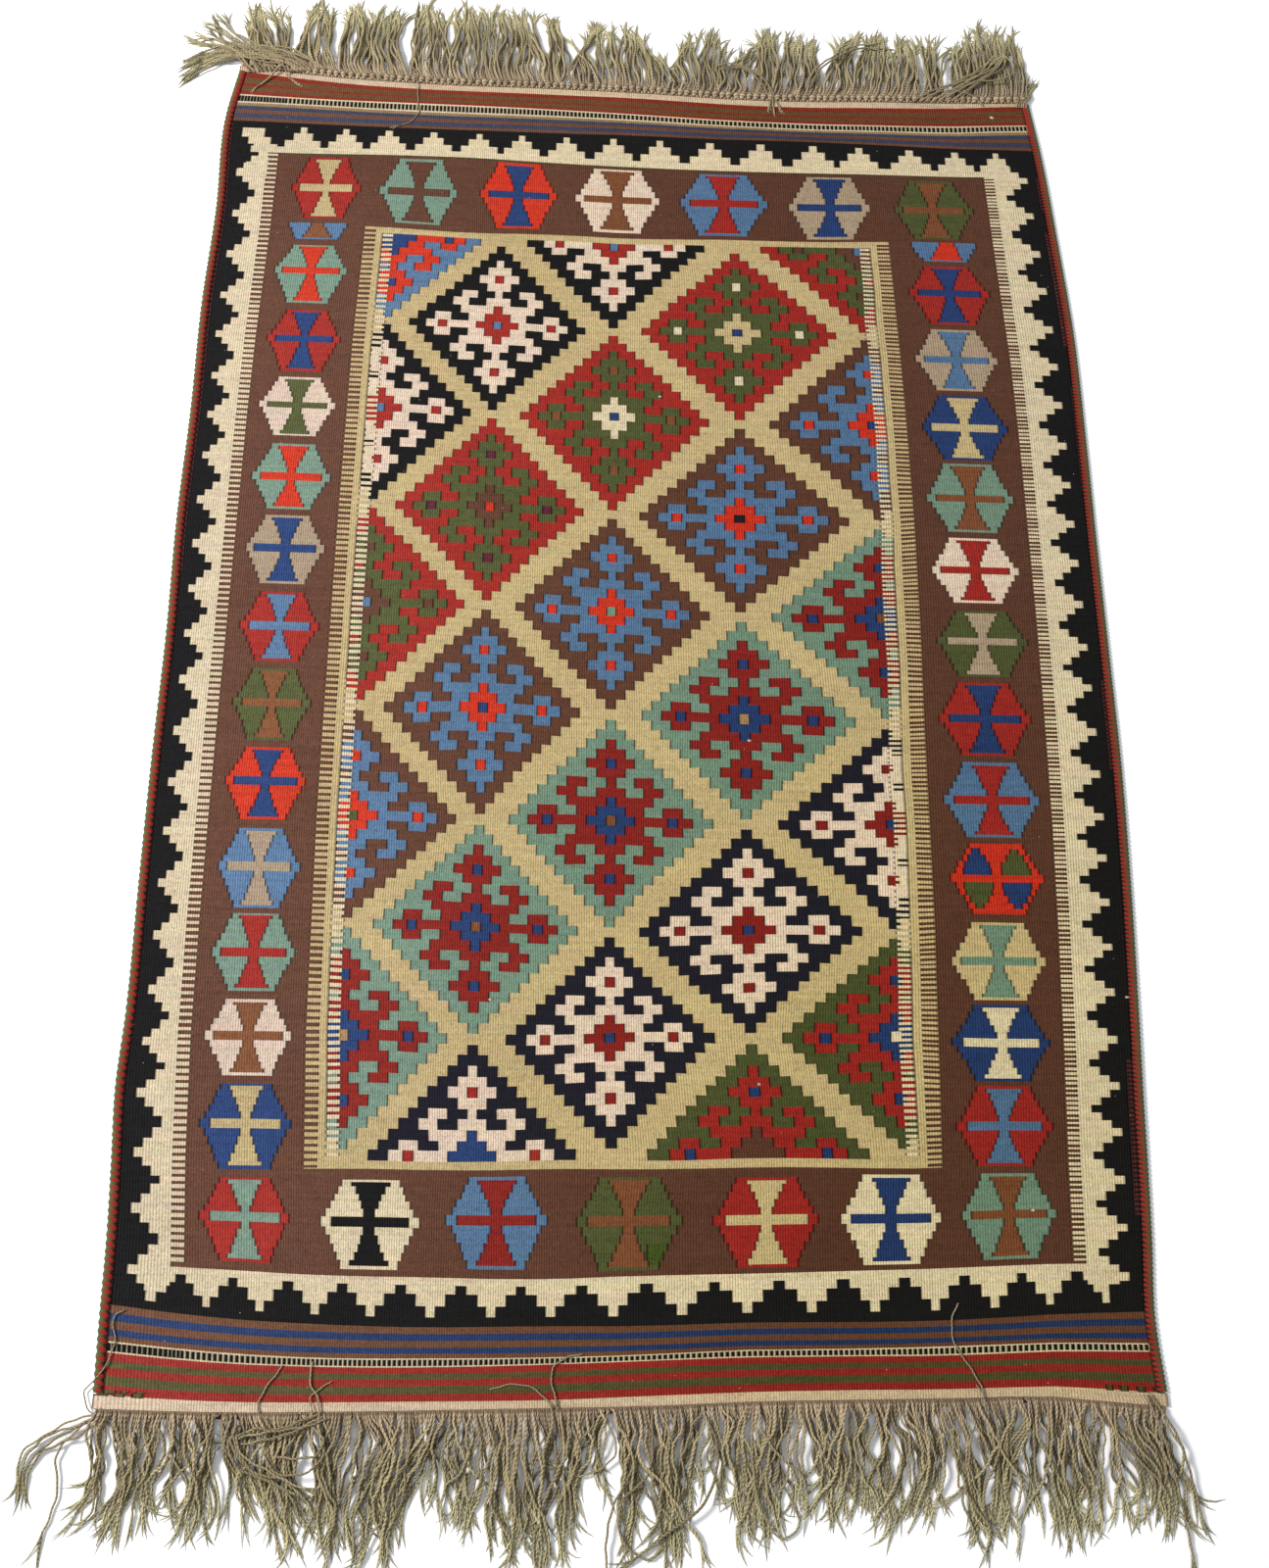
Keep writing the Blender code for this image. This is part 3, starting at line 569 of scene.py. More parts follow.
# The top left corner's own steps, and where the overcasting's red wool reaches into the web.
stepped(
    [(13, 42, 88), (21.5, 50, 101), (29, 58, 112), (36.5, 48.5, 124), (30, 48.5, 131), (22, 48.5, 139.5),
     (13, 48.5, 149.5), (0, 0, 159.5)],
    "cream",
)
for warps, first, last in ((1.5, 120, 175), (2.0, 208, 366), (1.0, 420, 560), (1.5, 800, 905), (2.5, 1225, 1385)):
    zone = (number_at > RIGHT_WARP - warps) & inside(row_at, first, last)
    dye(zone & (np.sin(math.tau * row_at / 4.7) > -0.3), "edge red")
zone = (number_at < LEFT_WARP + 1.0) & inside(row_at, 76, 700)
dye(zone & (np.sin(math.tau * row_at / 7.2) > -0.3), "edge red")

# The end bands: each stripe's dye and where it begins, and the rows of dots, a warp each
# and closer together at the left.
for start, end, name in (
    (8, 16, "end cream"), (16, 22.3, "top red"), (22.3, 27.6, "end olive"), (27.6, 30.6, "top red"),
    (30.6, 35.8, "end olive"), (35.8, 40, "top red"), (40, 52, "cream"), (52, 56, "tan"),
    (56, 61.5, "end blue"), (61.5, 66, "end brown"), (66, 72, "end blue"), (72, 76, "end brown"),
    (1476, 1481.6, "end brown"), (1481.6, 1488, "band blue"), (1488, 1493.6, "end brown"),
    (1493.6, 1499, "band blue"), (1499, 1503, "end brown"), (1503, 1510, "cream"),
    (1510, 1516, "end red"), (1516, 1521.5, "end green"), (1521.5, 1527.5, "end red"),
    (1527.5, 1533.6, "end green"), (1533.6, 1541, "end red"), (1541, 1552, "hem cream"),
):
    dye(inside(row_at, start, end), name)
odd_warp = np.where(number_at < -168, np.floor(2 * number_at) % 3 < 2, np.floor(number_at) % 2 == 0)
dye(odd_warp & inside(row_at, 42.5, 50), "black")
dye(odd_warp & inside(row_at, 1504, 1509), "black")

# A few oddities of this rug: specks of white lint, green stitches in the last red stripe, and a
# fresher green.
for lint_x, lint_y in ((949, 22), (952, 23), (525, 454), (619, 883), (350, 1169), (620, 1251), (886, 1371), (1004, 1158)):
    lint_number, lint_row = weave_of(lint_x, lint_y)
    speck = np.abs(number_at - lint_number) + 0.6 * np.abs(row_at - lint_row) < 1.1
    dye(speck, "white")
for stitch_x in (6, 17, 29, 44, 946, 960, 976, 997):
    stitch = np.abs(number_at - weave_of(stitch_x, 1536)[0]) < 1.2
    dye(stitch & inside(row_at, 1537.4, 1541.6), "end green")
fresh = inside(number_at, weave_of(507, 1410)[0], weave_of(530, 1410)[0])
fresh &= inside(row_at, weave_of(515, 1404)[1], weave_of(515, 1424)[1])
dye(fresh & (chart == DYE_NAMES.index("green")), "fresh green")


# The rows next to the selvedges' ends, where the web widens to the rug's edge.
ROW_CUTS = np.array([7, 8, 9, 1531, 1532, 1533])


def merged_blocks(cells, tile_across, tile_down):
    """Blocks of equal dye: runs along each row, cut at the tiles' lines, and equal runs under one
    another joined. Each block is its first and last column line and row line, its dye, and
    whether it ends at another dye, with a slit, on its left and on its right."""
    rows, columns = cells.shape
    slit = np.ones((rows, columns + 1), bool)
    slit[:, 1:-1] = cells[:, 1:] != cells[:, :-1]
    starts = slit[:, :-1].copy()
    starts[:, ::tile_across] = True
    row, first = np.nonzero(starts)
    last = np.append(first[1:], 0)
    last[np.append(row[1:] != row[:-1], True)] = columns
    value = cells[row, first]
    slit_left, slit_right = slit[row, first], slit[row, last]
    order = np.lexsort((row, slit_left, slit_right, value, last, first))
    row, first, last, value, slit_left, slit_right = (
        a[order] for a in (row, first, last, value, slit_left, slit_right)
    )
    joins = (row[1:] == row[:-1] + 1) & (row[1:] % tile_down != 0) & ~np.isin(row[1:], ROW_CUTS)
    for a in (first, last, value, slit_left, slit_right):
        joins &= a[1:] == a[:-1]
    head = np.append(True, ~joins)
    tail = np.append(~joins, True)
    return first[head], last[head], row[head], row[tail] + 1, value[head], slit_left[head], slit_right[head]


def faces_of_blocks(left, right, top, bottom):
    """The blocks as faces that share every corner on their sides, so that no seam opens. It
    returns the corners' column and row lines, the corner of each face loop and the loop counts."""
    big = 1 << 20
    corners = np.unique(
        np.concatenate([top * big + left, top * big + right, bottom * big + left, bottom * big + right])
    )
    corner_row, corner_column = corners // big, corners % big
    by_column = np.argsort(corner_column * big + corner_row)
    column_key = (corner_column * big + corner_row)[by_column]
    face, edge, place, corner = [], [], [], []
    for number, (start, end, flip) in enumerate(
        (
            (bottom * big + left, bottom * big + right, False),
            (right * big + top, right * big + bottom, True),
            (top * big + left, top * big + right, True),
            (left * big + top, left * big + bottom, False),
        )
    ):
        along_row = number % 2 == 0
        keys = corners if along_row else column_key
        low, high = np.searchsorted(keys, start), np.searchsorted(keys, end)
        count = high - low
        owner = np.repeat(np.arange(len(left)), count)
        step = np.arange(count.sum()) - np.repeat(np.cumsum(count) - count, count)
        index = high[owner] - step if flip else low[owner] + step
        face.append(owner)
        edge.append(np.full(len(owner), number))
        place.append(step)
        corner.append(index if along_row else by_column[index])
    face, edge, place, corner = (np.concatenate(a) for a in (face, edge, place, corner))
    order = np.lexsort((place, edge, face))
    return corner_column, corner_row, corner[order], np.bincount(face)


def mesh_from_loops(name, points, corners, counts):
    """A mesh from its points, the corner of each face loop, and the number of loops a face."""
    mesh = bpy.data.meshes.new(name)
    mesh.vertices.add(len(points))
    mesh.vertices.foreach_set("co", np.asarray(points, np.float32).ravel())
    mesh.loops.add(len(corners))
    mesh.loops.foreach_set("vertex_index", corners.astype(np.int32))
    mesh.polygons.add(len(counts))
    mesh.polygons.foreach_set("loop_start", (np.cumsum(counts) - counts).astype(np.int32))
    mesh.update(calc_edges=True)
    mesh.validate()
    return mesh


def add_piece(name, mesh, material):
    piece = bpy.data.objects.new(name, mesh)
    bpy.context.scene.collection.objects.link(piece)
    mesh.materials.append(material)
    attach(piece, "root")
    return piece


def linear(code):
    """A written colour such as #a0b1c2 as linear red, green and blue."""
    channels = np.array([int(code[i : i + 2], 16) for i in (1, 3, 5)]) / 255
    return np.where(channels <= 0.04045, channels / 12.92, ((channels + 0.055) / 1.055) ** 2.4)


def add_node(tree, kind, settings=None, inputs=None):
    """Adds a node, sets its properties, and links or sets its inputs by name or number."""
    node = tree.nodes.new(kind)
    for key, value in (settings or {}).items():
        setattr(node, key, value)
    for key, value in (inputs or {}).items():
        if isinstance(value, bpy.types.NodeSocket):
            tree.links.new(value, node.inputs[key])
        else:
            node.inputs[key].default_value = value
    return node


def new_material(name):
    material = bpy.data.materials.new(name)
    material.use_nodes = True
    tree = material.node_tree
    tree.nodes.clear()
    shader = add_node(tree, "ShaderNodeBsdfPrincipled")
    add_node(tree, "ShaderNodeOutputMaterial", inputs={"Surface": shader.outputs["BSDF"]})
    return material, tree, shader


def maths(tree, operation, first, second=0.0):
    node = add_node(tree, "ShaderNodeMath", {"operation": operation}, {0: first, 1: second})
    return node.outputs[0]


def number_of(column_line):
    return HALF_STEPS[column_line]


# Painted light and shade in the dyes: towards the rug's left edge, where more light falls, a dark
# colour is painted lighter, and towards its bottom right it is painted in deeper shade. Across it
# (mm), how much lighter a dark colour is painted. A channel changes more the darker it is. Blacks
# share less of this, and the pale dyes none.
PAINTED_LIGHT_ACROSS = np.array(
    [(0, 1.30), (190, 1.30), (310, 1.16), (440, 1.04), (560, 0.97), (690, 0.90), (810, 0.96), (1015, 0.98)]
)
PAINTED_LIGHT_SHARE = {
    "black": 0.55, "navy black": 0.5, "cream": 0.0, "end cream": 0.0, "hem cream": 0.9, "khaki": 0.0,
    "white": 0.0, "grey": 0.2, "tan": 0.2,
}


def dyes_with_painted_light(values, x, y):
    """The dyes (by number) at places in chart millimetres, with painted light and shade there."""
    dyes = np.array([linear(DYES[name]) for name in DYE_NAMES])[values]
    share = np.array([PAINTED_LIGHT_SHARE.get(name, 1.0) for name in DYE_NAMES])[values]
    # Painted shade: towards the bottom right the dyes are darker and their blue is weaker.
    corner = np.clip((y - 600) / 500, 0, 1) * np.clip((x - 300) / 400, 0, 1)
    top_left = np.clip((300 - y) / 150, 0, 1) * np.clip((400 - x) / 150, 0, 1)
    light = 1 + (np.interp(x, PAINTED_LIGHT_ACROSS[:, 0], PAINTED_LIGHT_ACROSS[:, 1]) - 1) * (1 - 0.5 * top_left)
    light *= 1 - 0.12 * corner
    depth = np.clip(np.log(dyes) / math.log(0.05), 0.0, 1.4)
    # Painted shade: the pale dyes are a little darker near the left edge. The painted light also adds a little blue at
    # the left.
    pale = 1 - 0.07 * np.clip((180 - x) / 80, 0, 1) * (share == 0)
    blue = 1 + 0.07 * np.clip(1 - x / 400, 0, 1) - 0.11 * corner
    dyes = dyes * light[:, None] ** (share[:, None] * depth) * pale[:, None]
    return dyes * np.column_stack([np.ones((len(x), 2)), blue])


def build_web():
    """The web's two faces, 2.6 mm apart, drawn from the chart and joined round the rim."""
    left, right, top, bottom, value, slit_left, slit_right = merged_blocks(chart, 32, 40)
    column, row, corners, counts = faces_of_blocks(left, right, top, bottom)
    number, weft_row = HALF_STEPS[column], ROW_STEPS[row]
    x_mm, y_mm = weave_point(number, weft_row)
    x, y = (x_mm - CHART_ORIGIN[0]) / 1000, (CHART_ORIGIN[1] - y_mm) / 1000
    z = rim_lift(x, y)
    size = len(x)
    upper = np.column_stack([x, y, z + CLOTH_THICKNESS])
    lower = np.column_stack([x, y, z])
    starts = np.cumsum(counts) - counts
    face = np.repeat(np.arange(len(counts)), counts)
    place = np.arange(len(corners)) - starts[face]
    turned = corners[starts[face] + counts[face] - 1 - place] + size
    # The rim's corners in order, anticlockwise from the top left, seen from above.
    last_column, last_row = len(HALF_STEPS) - 1, len(ROW_STEPS) - 1
    all_corners = np.arange(size)
    rim = np.concatenate(
        [
            all_corners[column == 0][np.argsort(row[column == 0])][:-1],
            all_corners[row == last_row][np.argsort(column[row == last_row])][:-1],
            all_corners[column == last_column][np.argsort(-row[column == last_column])][:-1],
            all_corners[row == 0][np.argsort(-column[row == 0])][:-1],
        ]
    )
    after = np.roll(rim, -1)
    rim_faces = np.column_stack([rim + size, after + size, after, rim]).ravel()
    loops = np.concatenate([corners, turned, rim_faces])
    all_counts = np.concatenate([counts, counts, np.full(len(rim), 4)])
    mesh = mesh_from_loops("kilim_web", np.concatenate([upper, lower]), loops, all_counts)
    # Dyes on every loop: a rim face takes the dye of the block beside it.
    block_at = np.zeros(size, int)
    block_at[corners] = value[face]
    values = np.concatenate([value[face], value[face], np.repeat(block_at[rim], 4)])
    loop_corner = loops % size
    colour = dyes_with_painted_light(values, x_mm[loop_corner], y_mm[loop_corner])
    colour = np.column_stack([colour, np.ones(len(values))]).astype(np.float32)
    layer = mesh.color_attributes.new("Dye", "FLOAT_COLOR", "CORNER")
    layer.data.foreach_set("color", colour.ravel())
    twice_number, twice_row = np.tile(number, 2), np.tile(weft_row, 2)
    weave = mesh.uv_layers.new(name="Weave")
    weave.data.foreach_set(
        "uv", np.column_stack([twice_number[loops], twice_row[loops]]).astype(np.float32).ravel()
    )
    # How far each loop lies from the slits at its block's sides, in warps.
    from_left = number[corners] - number_of(left)[face] + np.where(slit_left, 0, 9)[face]
    from_right = number_of(right)[face] - number[corners] + np.where(slit_right, 0, 9)[face]
    away = np.column_stack([from_left, from_right])
    turned_at = starts[face] + counts[face] - 1 - place
    away = np.concatenate([away, away[turned_at], np.full((4 * len(rim), 2), 9.0)])
    slits = mesh.uv_layers.new(name="Slit")
    slits.data.foreach_set("uv", away.astype(np.float32).ravel())
    bake = mesh.uv_layers.new(name="OFBake")
    flat = np.column_stack([(twice_number - LEFT_WARP) / 600, (BOTTOM_ROW - twice_row) / 1600 + 0.01])
    bake.data.foreach_set("uv", (flat[loops] + 0.01).astype(np.float32).ravel())
    mesh.polygons.foreach_set("use_smooth", np.ones(len(mesh.polygons), bool))
    # The rim's two edges are sharp.
    on_rim = np.zeros(2 * size, bool)
    on_rim[rim], on_rim[rim + size] = True, True
    ends = np.empty(2 * len(mesh.edges), np.int32)
    mesh.edges.foreach_get("vertices", ends)
    first, second = ends[::2], ends[1::2]
    sharp = on_rim[first] & on_rim[second] & ((first < size) == (second < size))
    mesh.attributes.new("sharp_edge", "BOOLEAN", "EDGE").data.foreach_set("value", sharp)
    return mesh


def web_material():
    """Matt wool: the chart's dyes, a rib for each warp, fine picks across it, painted shade in the
    hollows between the ribs and the picks and in the slits where two dyes meet side by side, and
    small differences from yarn to yarn."""
    material, tree, shader = new_material("weft_faced_wool")
    dye_node = add_node(tree, "ShaderNodeAttribute", {"attribute_name": "Dye"})
    uv = add_node(tree, "ShaderNodeUVMap", {"uv_map": "Weave"})
    parts = add_node(tree, "ShaderNodeSeparateXYZ", inputs={0: uv.outputs[0]})
    across, along = parts.outputs["X"], parts.outputs["Y"]
    rib = maths(tree, "ABSOLUTE", maths(tree, "SINE", maths(tree, "MULTIPLY", across, math.pi)))
    odd = maths(tree, "MULTIPLY", maths(tree, "FLOOR", across), math.pi)
    pick_turn = maths(tree, "ADD", maths(tree, "MULTIPLY", along, math.tau / 1.5), odd)
    pick = maths(tree, "SINE", pick_turn)
    slit_uv = add_node(tree, "ShaderNodeUVMap", {"uv_map": "Slit"})
    slit = add_node(tree, "ShaderNodeSeparateXYZ", inputs={0: slit_uv.outputs[0]})
    nearest_slit = maths(tree, "MINIMUM", slit.outputs["X"], slit.outputs["Y"])
    # Painted shade in the slits: the colour darkens towards a slit, and the bump dips there.
    closed = add_node(
        tree, "ShaderNodeMapRange", {"interpolation_type": "SMOOTHSTEP"},
        {"Value": nearest_slit, "From Min": 0.10, "From Max": 0.62, "To Min": 0.30, "To Max": 1.0},
    ).outputs[0]
    place = add_node(tree, "ShaderNodeTexCoord").outputs["Object"]
    streak_at = add_node(tree, "ShaderNodeMapping", inputs={"Vector": place, "Scale": (10, 300, 10)})
    noises = []
    for vector, scale, detail, share in (
        (streak_at.outputs[0], 1.0, 3.0, 0.42),
        (place, 520.0, 2.0, 0.95),
        (place, 160.0, 2.0, 0.34),
        (place, 9.0, 3.0, 0.18),
    ):
        noise = add_node(
            tree, "ShaderNodeTexNoise", inputs={"Vector": vector, "Scale": scale, "Detail": detail}
        ).outputs[0]
        noises.append((noise, share))
    # Painted shade: the colour is darker in the hollows between the warps' ribs and along the picks. The noises are
    # tone that differs from yarn to yarn.
    shade = maths(tree, "ADD", 0.82, maths(tree, "MULTIPLY", rib, 0.21))
    shade = maths(tree, "ADD", shade, maths(tree, "MULTIPLY", pick, 0.05))
    for noise, share in noises:
        shade = maths(tree, "ADD", shade, maths(tree, "MULTIPLY", maths(tree, "SUBTRACT", noise, 0.5), share))
    shade = maths(tree, "MULTIPLY", shade, closed)
    shaded = add_node(
        tree, "ShaderNodeVectorMath", {"operation": "SCALE"}, {0: dye_node.outputs["Color"], "Scale": shade}
    )
    # The hue also differs a little from one weft to the next.
    tint_noise = add_node(
        tree, "ShaderNodeTexNoise", inputs={"Vector": streak_at.outputs[0], "Scale": 0.6, "Detail": 2.0}
    )
    tint = add_node(
        tree, "ShaderNodeVectorMath", {"operation": "MULTIPLY_ADD"},
        {0: tint_noise.outputs["Color"], 1: (0.16, 0.18, 0.26), 2: (0.92, 0.91, 0.87)},
    )
    shaded = add_node(
        tree, "ShaderNodeVectorMath", {"operation": "MULTIPLY"}, {0: shaded.outputs[0], 1: tint.outputs[0]}
    )
    # Lint: a few pale specks of loose wool, under a millimetre across.
    cells = add_node(tree, "ShaderNodeTexVoronoi", inputs={"Vector": place, "Scale": 150.0})
    speck_pick = add_node(tree, "ShaderNodeSeparateXYZ", inputs={0: cells.outputs["Color"]})
    rare = maths(tree, "GREATER_THAN", speck_pick.outputs["X"], 0.965)
    small = maths(tree, "LESS_THAN", cells.outputs["Distance"], 0.09)
    lint = add_node(
        tree, "ShaderNodeMix", {"data_type": "RGBA"},
        {"Factor": maths(tree, "MULTIPLY", maths(tree, "MULTIPLY", rare, small), 0.45), 6: shaded.outputs[0],
         7: (*linear("#b5ab98"), 1.0)},
    )
    height = maths(tree, "ADD", rib, maths(tree, "MULTIPLY", pick, 0.18))
    height = maths(tree, "ADD", height, maths(tree, "MULTIPLY", noises[1][0], 0.7))
    height = maths(tree, "ADD", height, maths(tree, "MULTIPLY", closed, 0.8))
    bump = add_node(
        tree, "ShaderNodeBump", inputs={"Strength": 0.7, "Distance": 0.0006, "Height": height}
    )
    tree.links.new(lint.outputs[2], shader.inputs["Base Color"])
    tree.links.new(bump.outputs[0], shader.inputs["Normal"])
    shader.inputs["Roughness"].default_value = 0.95
    shader.inputs["Specular IOR Level"].default_value = 0.05
    return material


web = add_piece("kilim_web", build_web(), web_material())
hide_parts("kilim_cloth")

# ---------------------------------------------------------------------------------------------
# The selvedges: each long edge is overcast with thick wool in two colours, red on the inner side
# and green on the outer one, sewn down beside the web. The left one has plumper stitches.
# ---------------------------------------------------------------------------------------------

SELVEDGE_HEIGHT = 0.0045
SELVEDGE_TOP_Y = 0.7695
SELVEDGE_BOTTOM_Y = -0.7680
SELVEDGE_SIDES = 24
SELVEDGE_STEP = 0.0010
WRAP_SWELL = 0.0005
# For each side: which way is outwards, the stitches' pitch (m), where across the binding a red
# stitch has its middle and how far it reaches from there (shares of the width, from the inner
# edge), its thickness as a share of the pitch, and how much it slants.
OVERCASTING = {
    "left": (-1.0, 0.0072, 0.36, 0.40, 0.66, 0.45),
    "right": (1.0, 0.0047, 0.30, 0.36, 0.62, -0.55),
}
STITCH_RED, STITCH_GREEN, STITCH_SHADE = "#8c2b26", "#55603c", "#33291d"


def strip_of_grid(rows, columns, closed):
    """The corner numbers of a grid's faces, four a face. A closed grid's last column meets its
    first, as round a tube."""
    number = np.arange(rows * columns).reshape(rows, columns)
    beside = np.roll(number, -1, axis=1) if closed else number[:, 1:]
    here = number if closed else number[:, :-1]
    return np.stack([here[:-1], here[1:], beside[1:], beside[:-1]], axis=-1).reshape(-1, 4)


def tube_parts(points, radii, sides, dyes, bake_area, flat=1.0):
    """Tubes along many courses at once. A ring of corners stands square to the course at each of
    its points, neighbouring rings are joined, and one face closes each end. The arrays are shaped
    strand, step, and x y z. It returns the tubes as plain arrays."""
    count, steps = radii.shape
    course = np.gradient(points, axis=1)
    course /= np.linalg.norm(course, axis=2, keepdims=True)
    across = np.cross(course, (0.0, 0.0, 1.0))
    across /= np.linalg.norm(across, axis=2, keepdims=True)
    upward = np.cross(across, course)
    turn = math.tau * np.arange(sides) / sides
    ring = across[:, :, None] * np.cos(turn)[:, None] + upward[:, :, None] * np.sin(turn)[:, None] * flat
    corners = points[:, :, None] + radii[:, :, None, None] * ring
    quads = strip_of_grid(steps, sides, True)
    start = (np.arange(count) * steps * sides)[:, None]
    caps = np.concatenate([np.arange(sides), (steps - 1) * sides + np.arange(sides)[::-1]])
    loops = np.concatenate([(start[:, :, None] + quads).ravel(), (start + caps).ravel()])
    counts = np.concatenate([np.full(count * len(quads), 4), np.full(count * 2, sides)])
    # Round the tube and along it (mm), for the twist, and a cell of its own in the baked map.
    span = np.linalg.norm(np.diff(points, axis=1), axis=2)
    length = np.concatenate([np.zeros((count, 1)), np.cumsum(span, axis=1)], axis=1) * 1000
    side = np.tile(np.arange(sides), steps - 1)
    round_share = np.stack([side, side, side + 1, side + 1], axis=1) / sides
    step = np.repeat(np.arange(steps - 1), sides)
    loop_step = np.stack([step, step + 1, step + 1, step], axis=1)
    cap_step = np.repeat([0, steps - 1], sides)
    cap_round = np.tile(np.arange(sides) / sides, 2)
    uv_round = np.concatenate([np.tile(round_share.ravel(), count), np.tile(cap_round, count)])
    uv_along = np.concatenate([length[:, loop_step.ravel()].ravel(), length[:, cap_step].ravel()])
    left, low, right, high = bake_area
    columns = max(1, math.ceil(math.sqrt(count * length.max() / (radii.max() * 6283) * (right - left) / (high - low))))
    rows = math.ceil(count / columns)
    strand = np.concatenate([np.repeat(np.arange(count), len(quads) * 4), np.repeat(np.arange(count), sides * 2)])
    bake_u = left + (strand % columns + 0.05 + 0.9 * uv_round) / columns * (right - left)
    bake_v = low + (strand // columns + 0.05 + 0.9 * uv_along / length.max()) / rows * (high - low)
    return {
        "points": corners.reshape(-1, 3),
        "loops": loops,
        "counts": counts,
        "dyes": np.repeat(dyes.reshape(-1, 3), sides, axis=0),
        "strand": np.column_stack([uv_round, uv_along]),
        "bake": np.column_stack([bake_u, bake_v]),
    }


def mesh_of_parts(name, parts):
    """One mesh from several sets of arrays, with their dyes and both maps."""
    first = np.cumsum([0] + [len(part["points"]) for part in parts[:-1]])
    loops = np.concatenate([part["loops"] + start for part, start in zip(parts, first)])
    points = np.concatenate([part["points"] for part in parts])
    mesh = mesh_from_loops(name, points, loops, np.concatenate([part["counts"] for part in parts]))
    dyes = np.concatenate([part["dyes"] for part in parts])
    dyes = np.column_stack([dyes, np.ones(len(dyes))]).astype(np.float32)
    mesh.color_attributes.new("Dye", "FLOAT_COLOR", "POINT").data.foreach_set("color", dyes.ravel())
    for map_name, key in (("Strand", "strand"), ("OFBake", "bake")):
        values = np.concatenate([part[key] for part in parts]).astype(np.float32)
        mesh.uv_layers.new(name=map_name).data.foreach_set("uv", values.ravel())
    mesh.polygons.foreach_set("use_smooth", np.ones(len(mesh.polygons), bool))
    return mesh


def build_selvedge(side):
    """A flattened tube beside the web, swollen where each stitch crosses it. A point is red where
    it lies inside a stitch's lens, and green or in shade elsewhere."""
    outward, pitch, middle, reach, thickness, slant = OVERCASTING[side]
    y = np.arange(SELVEDGE_TOP_Y, SELVEDGE_BOTTOM_Y, -SELVEDGE_STEP)
    x = side_x(side, y) - outward * SELVEDGE_WIDTH / 2
    inner_x = side_x(side, y) - outward * (SELVEDGE_WIDTH + GAP)
    base = rim_lift(inner_x, y)
    points = np.column_stack([x, y, base + SELVEDGE_HEIGHT / 2])[None]
    part = tube_parts(
        points, np.full((1, len(y)), SELVEDGE_WIDTH / 2), SELVEDGE_SIDES, np.zeros((1, len(y), 3)), (0.01, 0.01, 0.99, 0.99)
    )
    corners = part["points"].reshape(len(y), SELVEDGE_SIDES, 3)
    spread = corners - points[0][:, None]
    flat = SELVEDGE_HEIGHT / SELVEDGE_WIDTH
    share = 0.5 + outward * spread[:, :, 0] / SELVEDGE_WIDTH
    length = (SELVEDGE_TOP_Y - y)[:, None]
    phase = length / pitch - slant * (1 - share) * np.sign(pitch)
    phase += 0.12 * np.sin(length * 61) + 0.07 * np.sin(length * 173)
    off = np.abs(phase - np.round(phase))
    lens = np.clip(1 - ((share - middle) / reach) ** 2, 0, None) ** 0.5 * thickness / 2
    plain = np.clip((y[:, None] - 0.70) / 0.03, 0, 1)
    red = np.clip((lens - off) * 14 + 0.5 + plain * (0.5 - share) * 8, 0, 1)
    swell = WRAP_SWELL * (np.cos(off * math.tau) * (1 - 0.6 * plain) + 0.3)
    size = 1 + swell / (SELVEDGE_HEIGHT / 2)
    corners[:, :, 0] = points[0][:, None, 0] + spread[:, :, 0] * (1 + swell / (SELVEDGE_WIDTH / 2))
    corners[:, :, 2] = points[0][:, None, 2] + spread[:, :, 2] * flat * size
    corners[:, :, 2] = np.maximum(corners[:, :, 2], base[:, None])
    # Painted shade: the binding is darker towards both its sides, and between the stitches its green turns to the dark
    # painted shade of STITCH_SHADE at its inner edge, beside the web.
    shade = np.clip(1.0 - np.abs(share - 0.5) * 0.5, 0, 1)[:, :, None]
    green = linear(STITCH_SHADE) + (linear(STITCH_GREEN) - linear(STITCH_SHADE)) * np.clip(
        share * 1.5 - 0.25, 0, 1
    )[:, :, None]
    dyes = (green + (linear(STITCH_RED) - green) * red[:, :, None]) * shade
    part["points"] = corners.reshape(-1, 3)
    part["dyes"] = dyes.reshape(-1, 3)
    return mesh_of_parts("selvedge_" + side, [part])


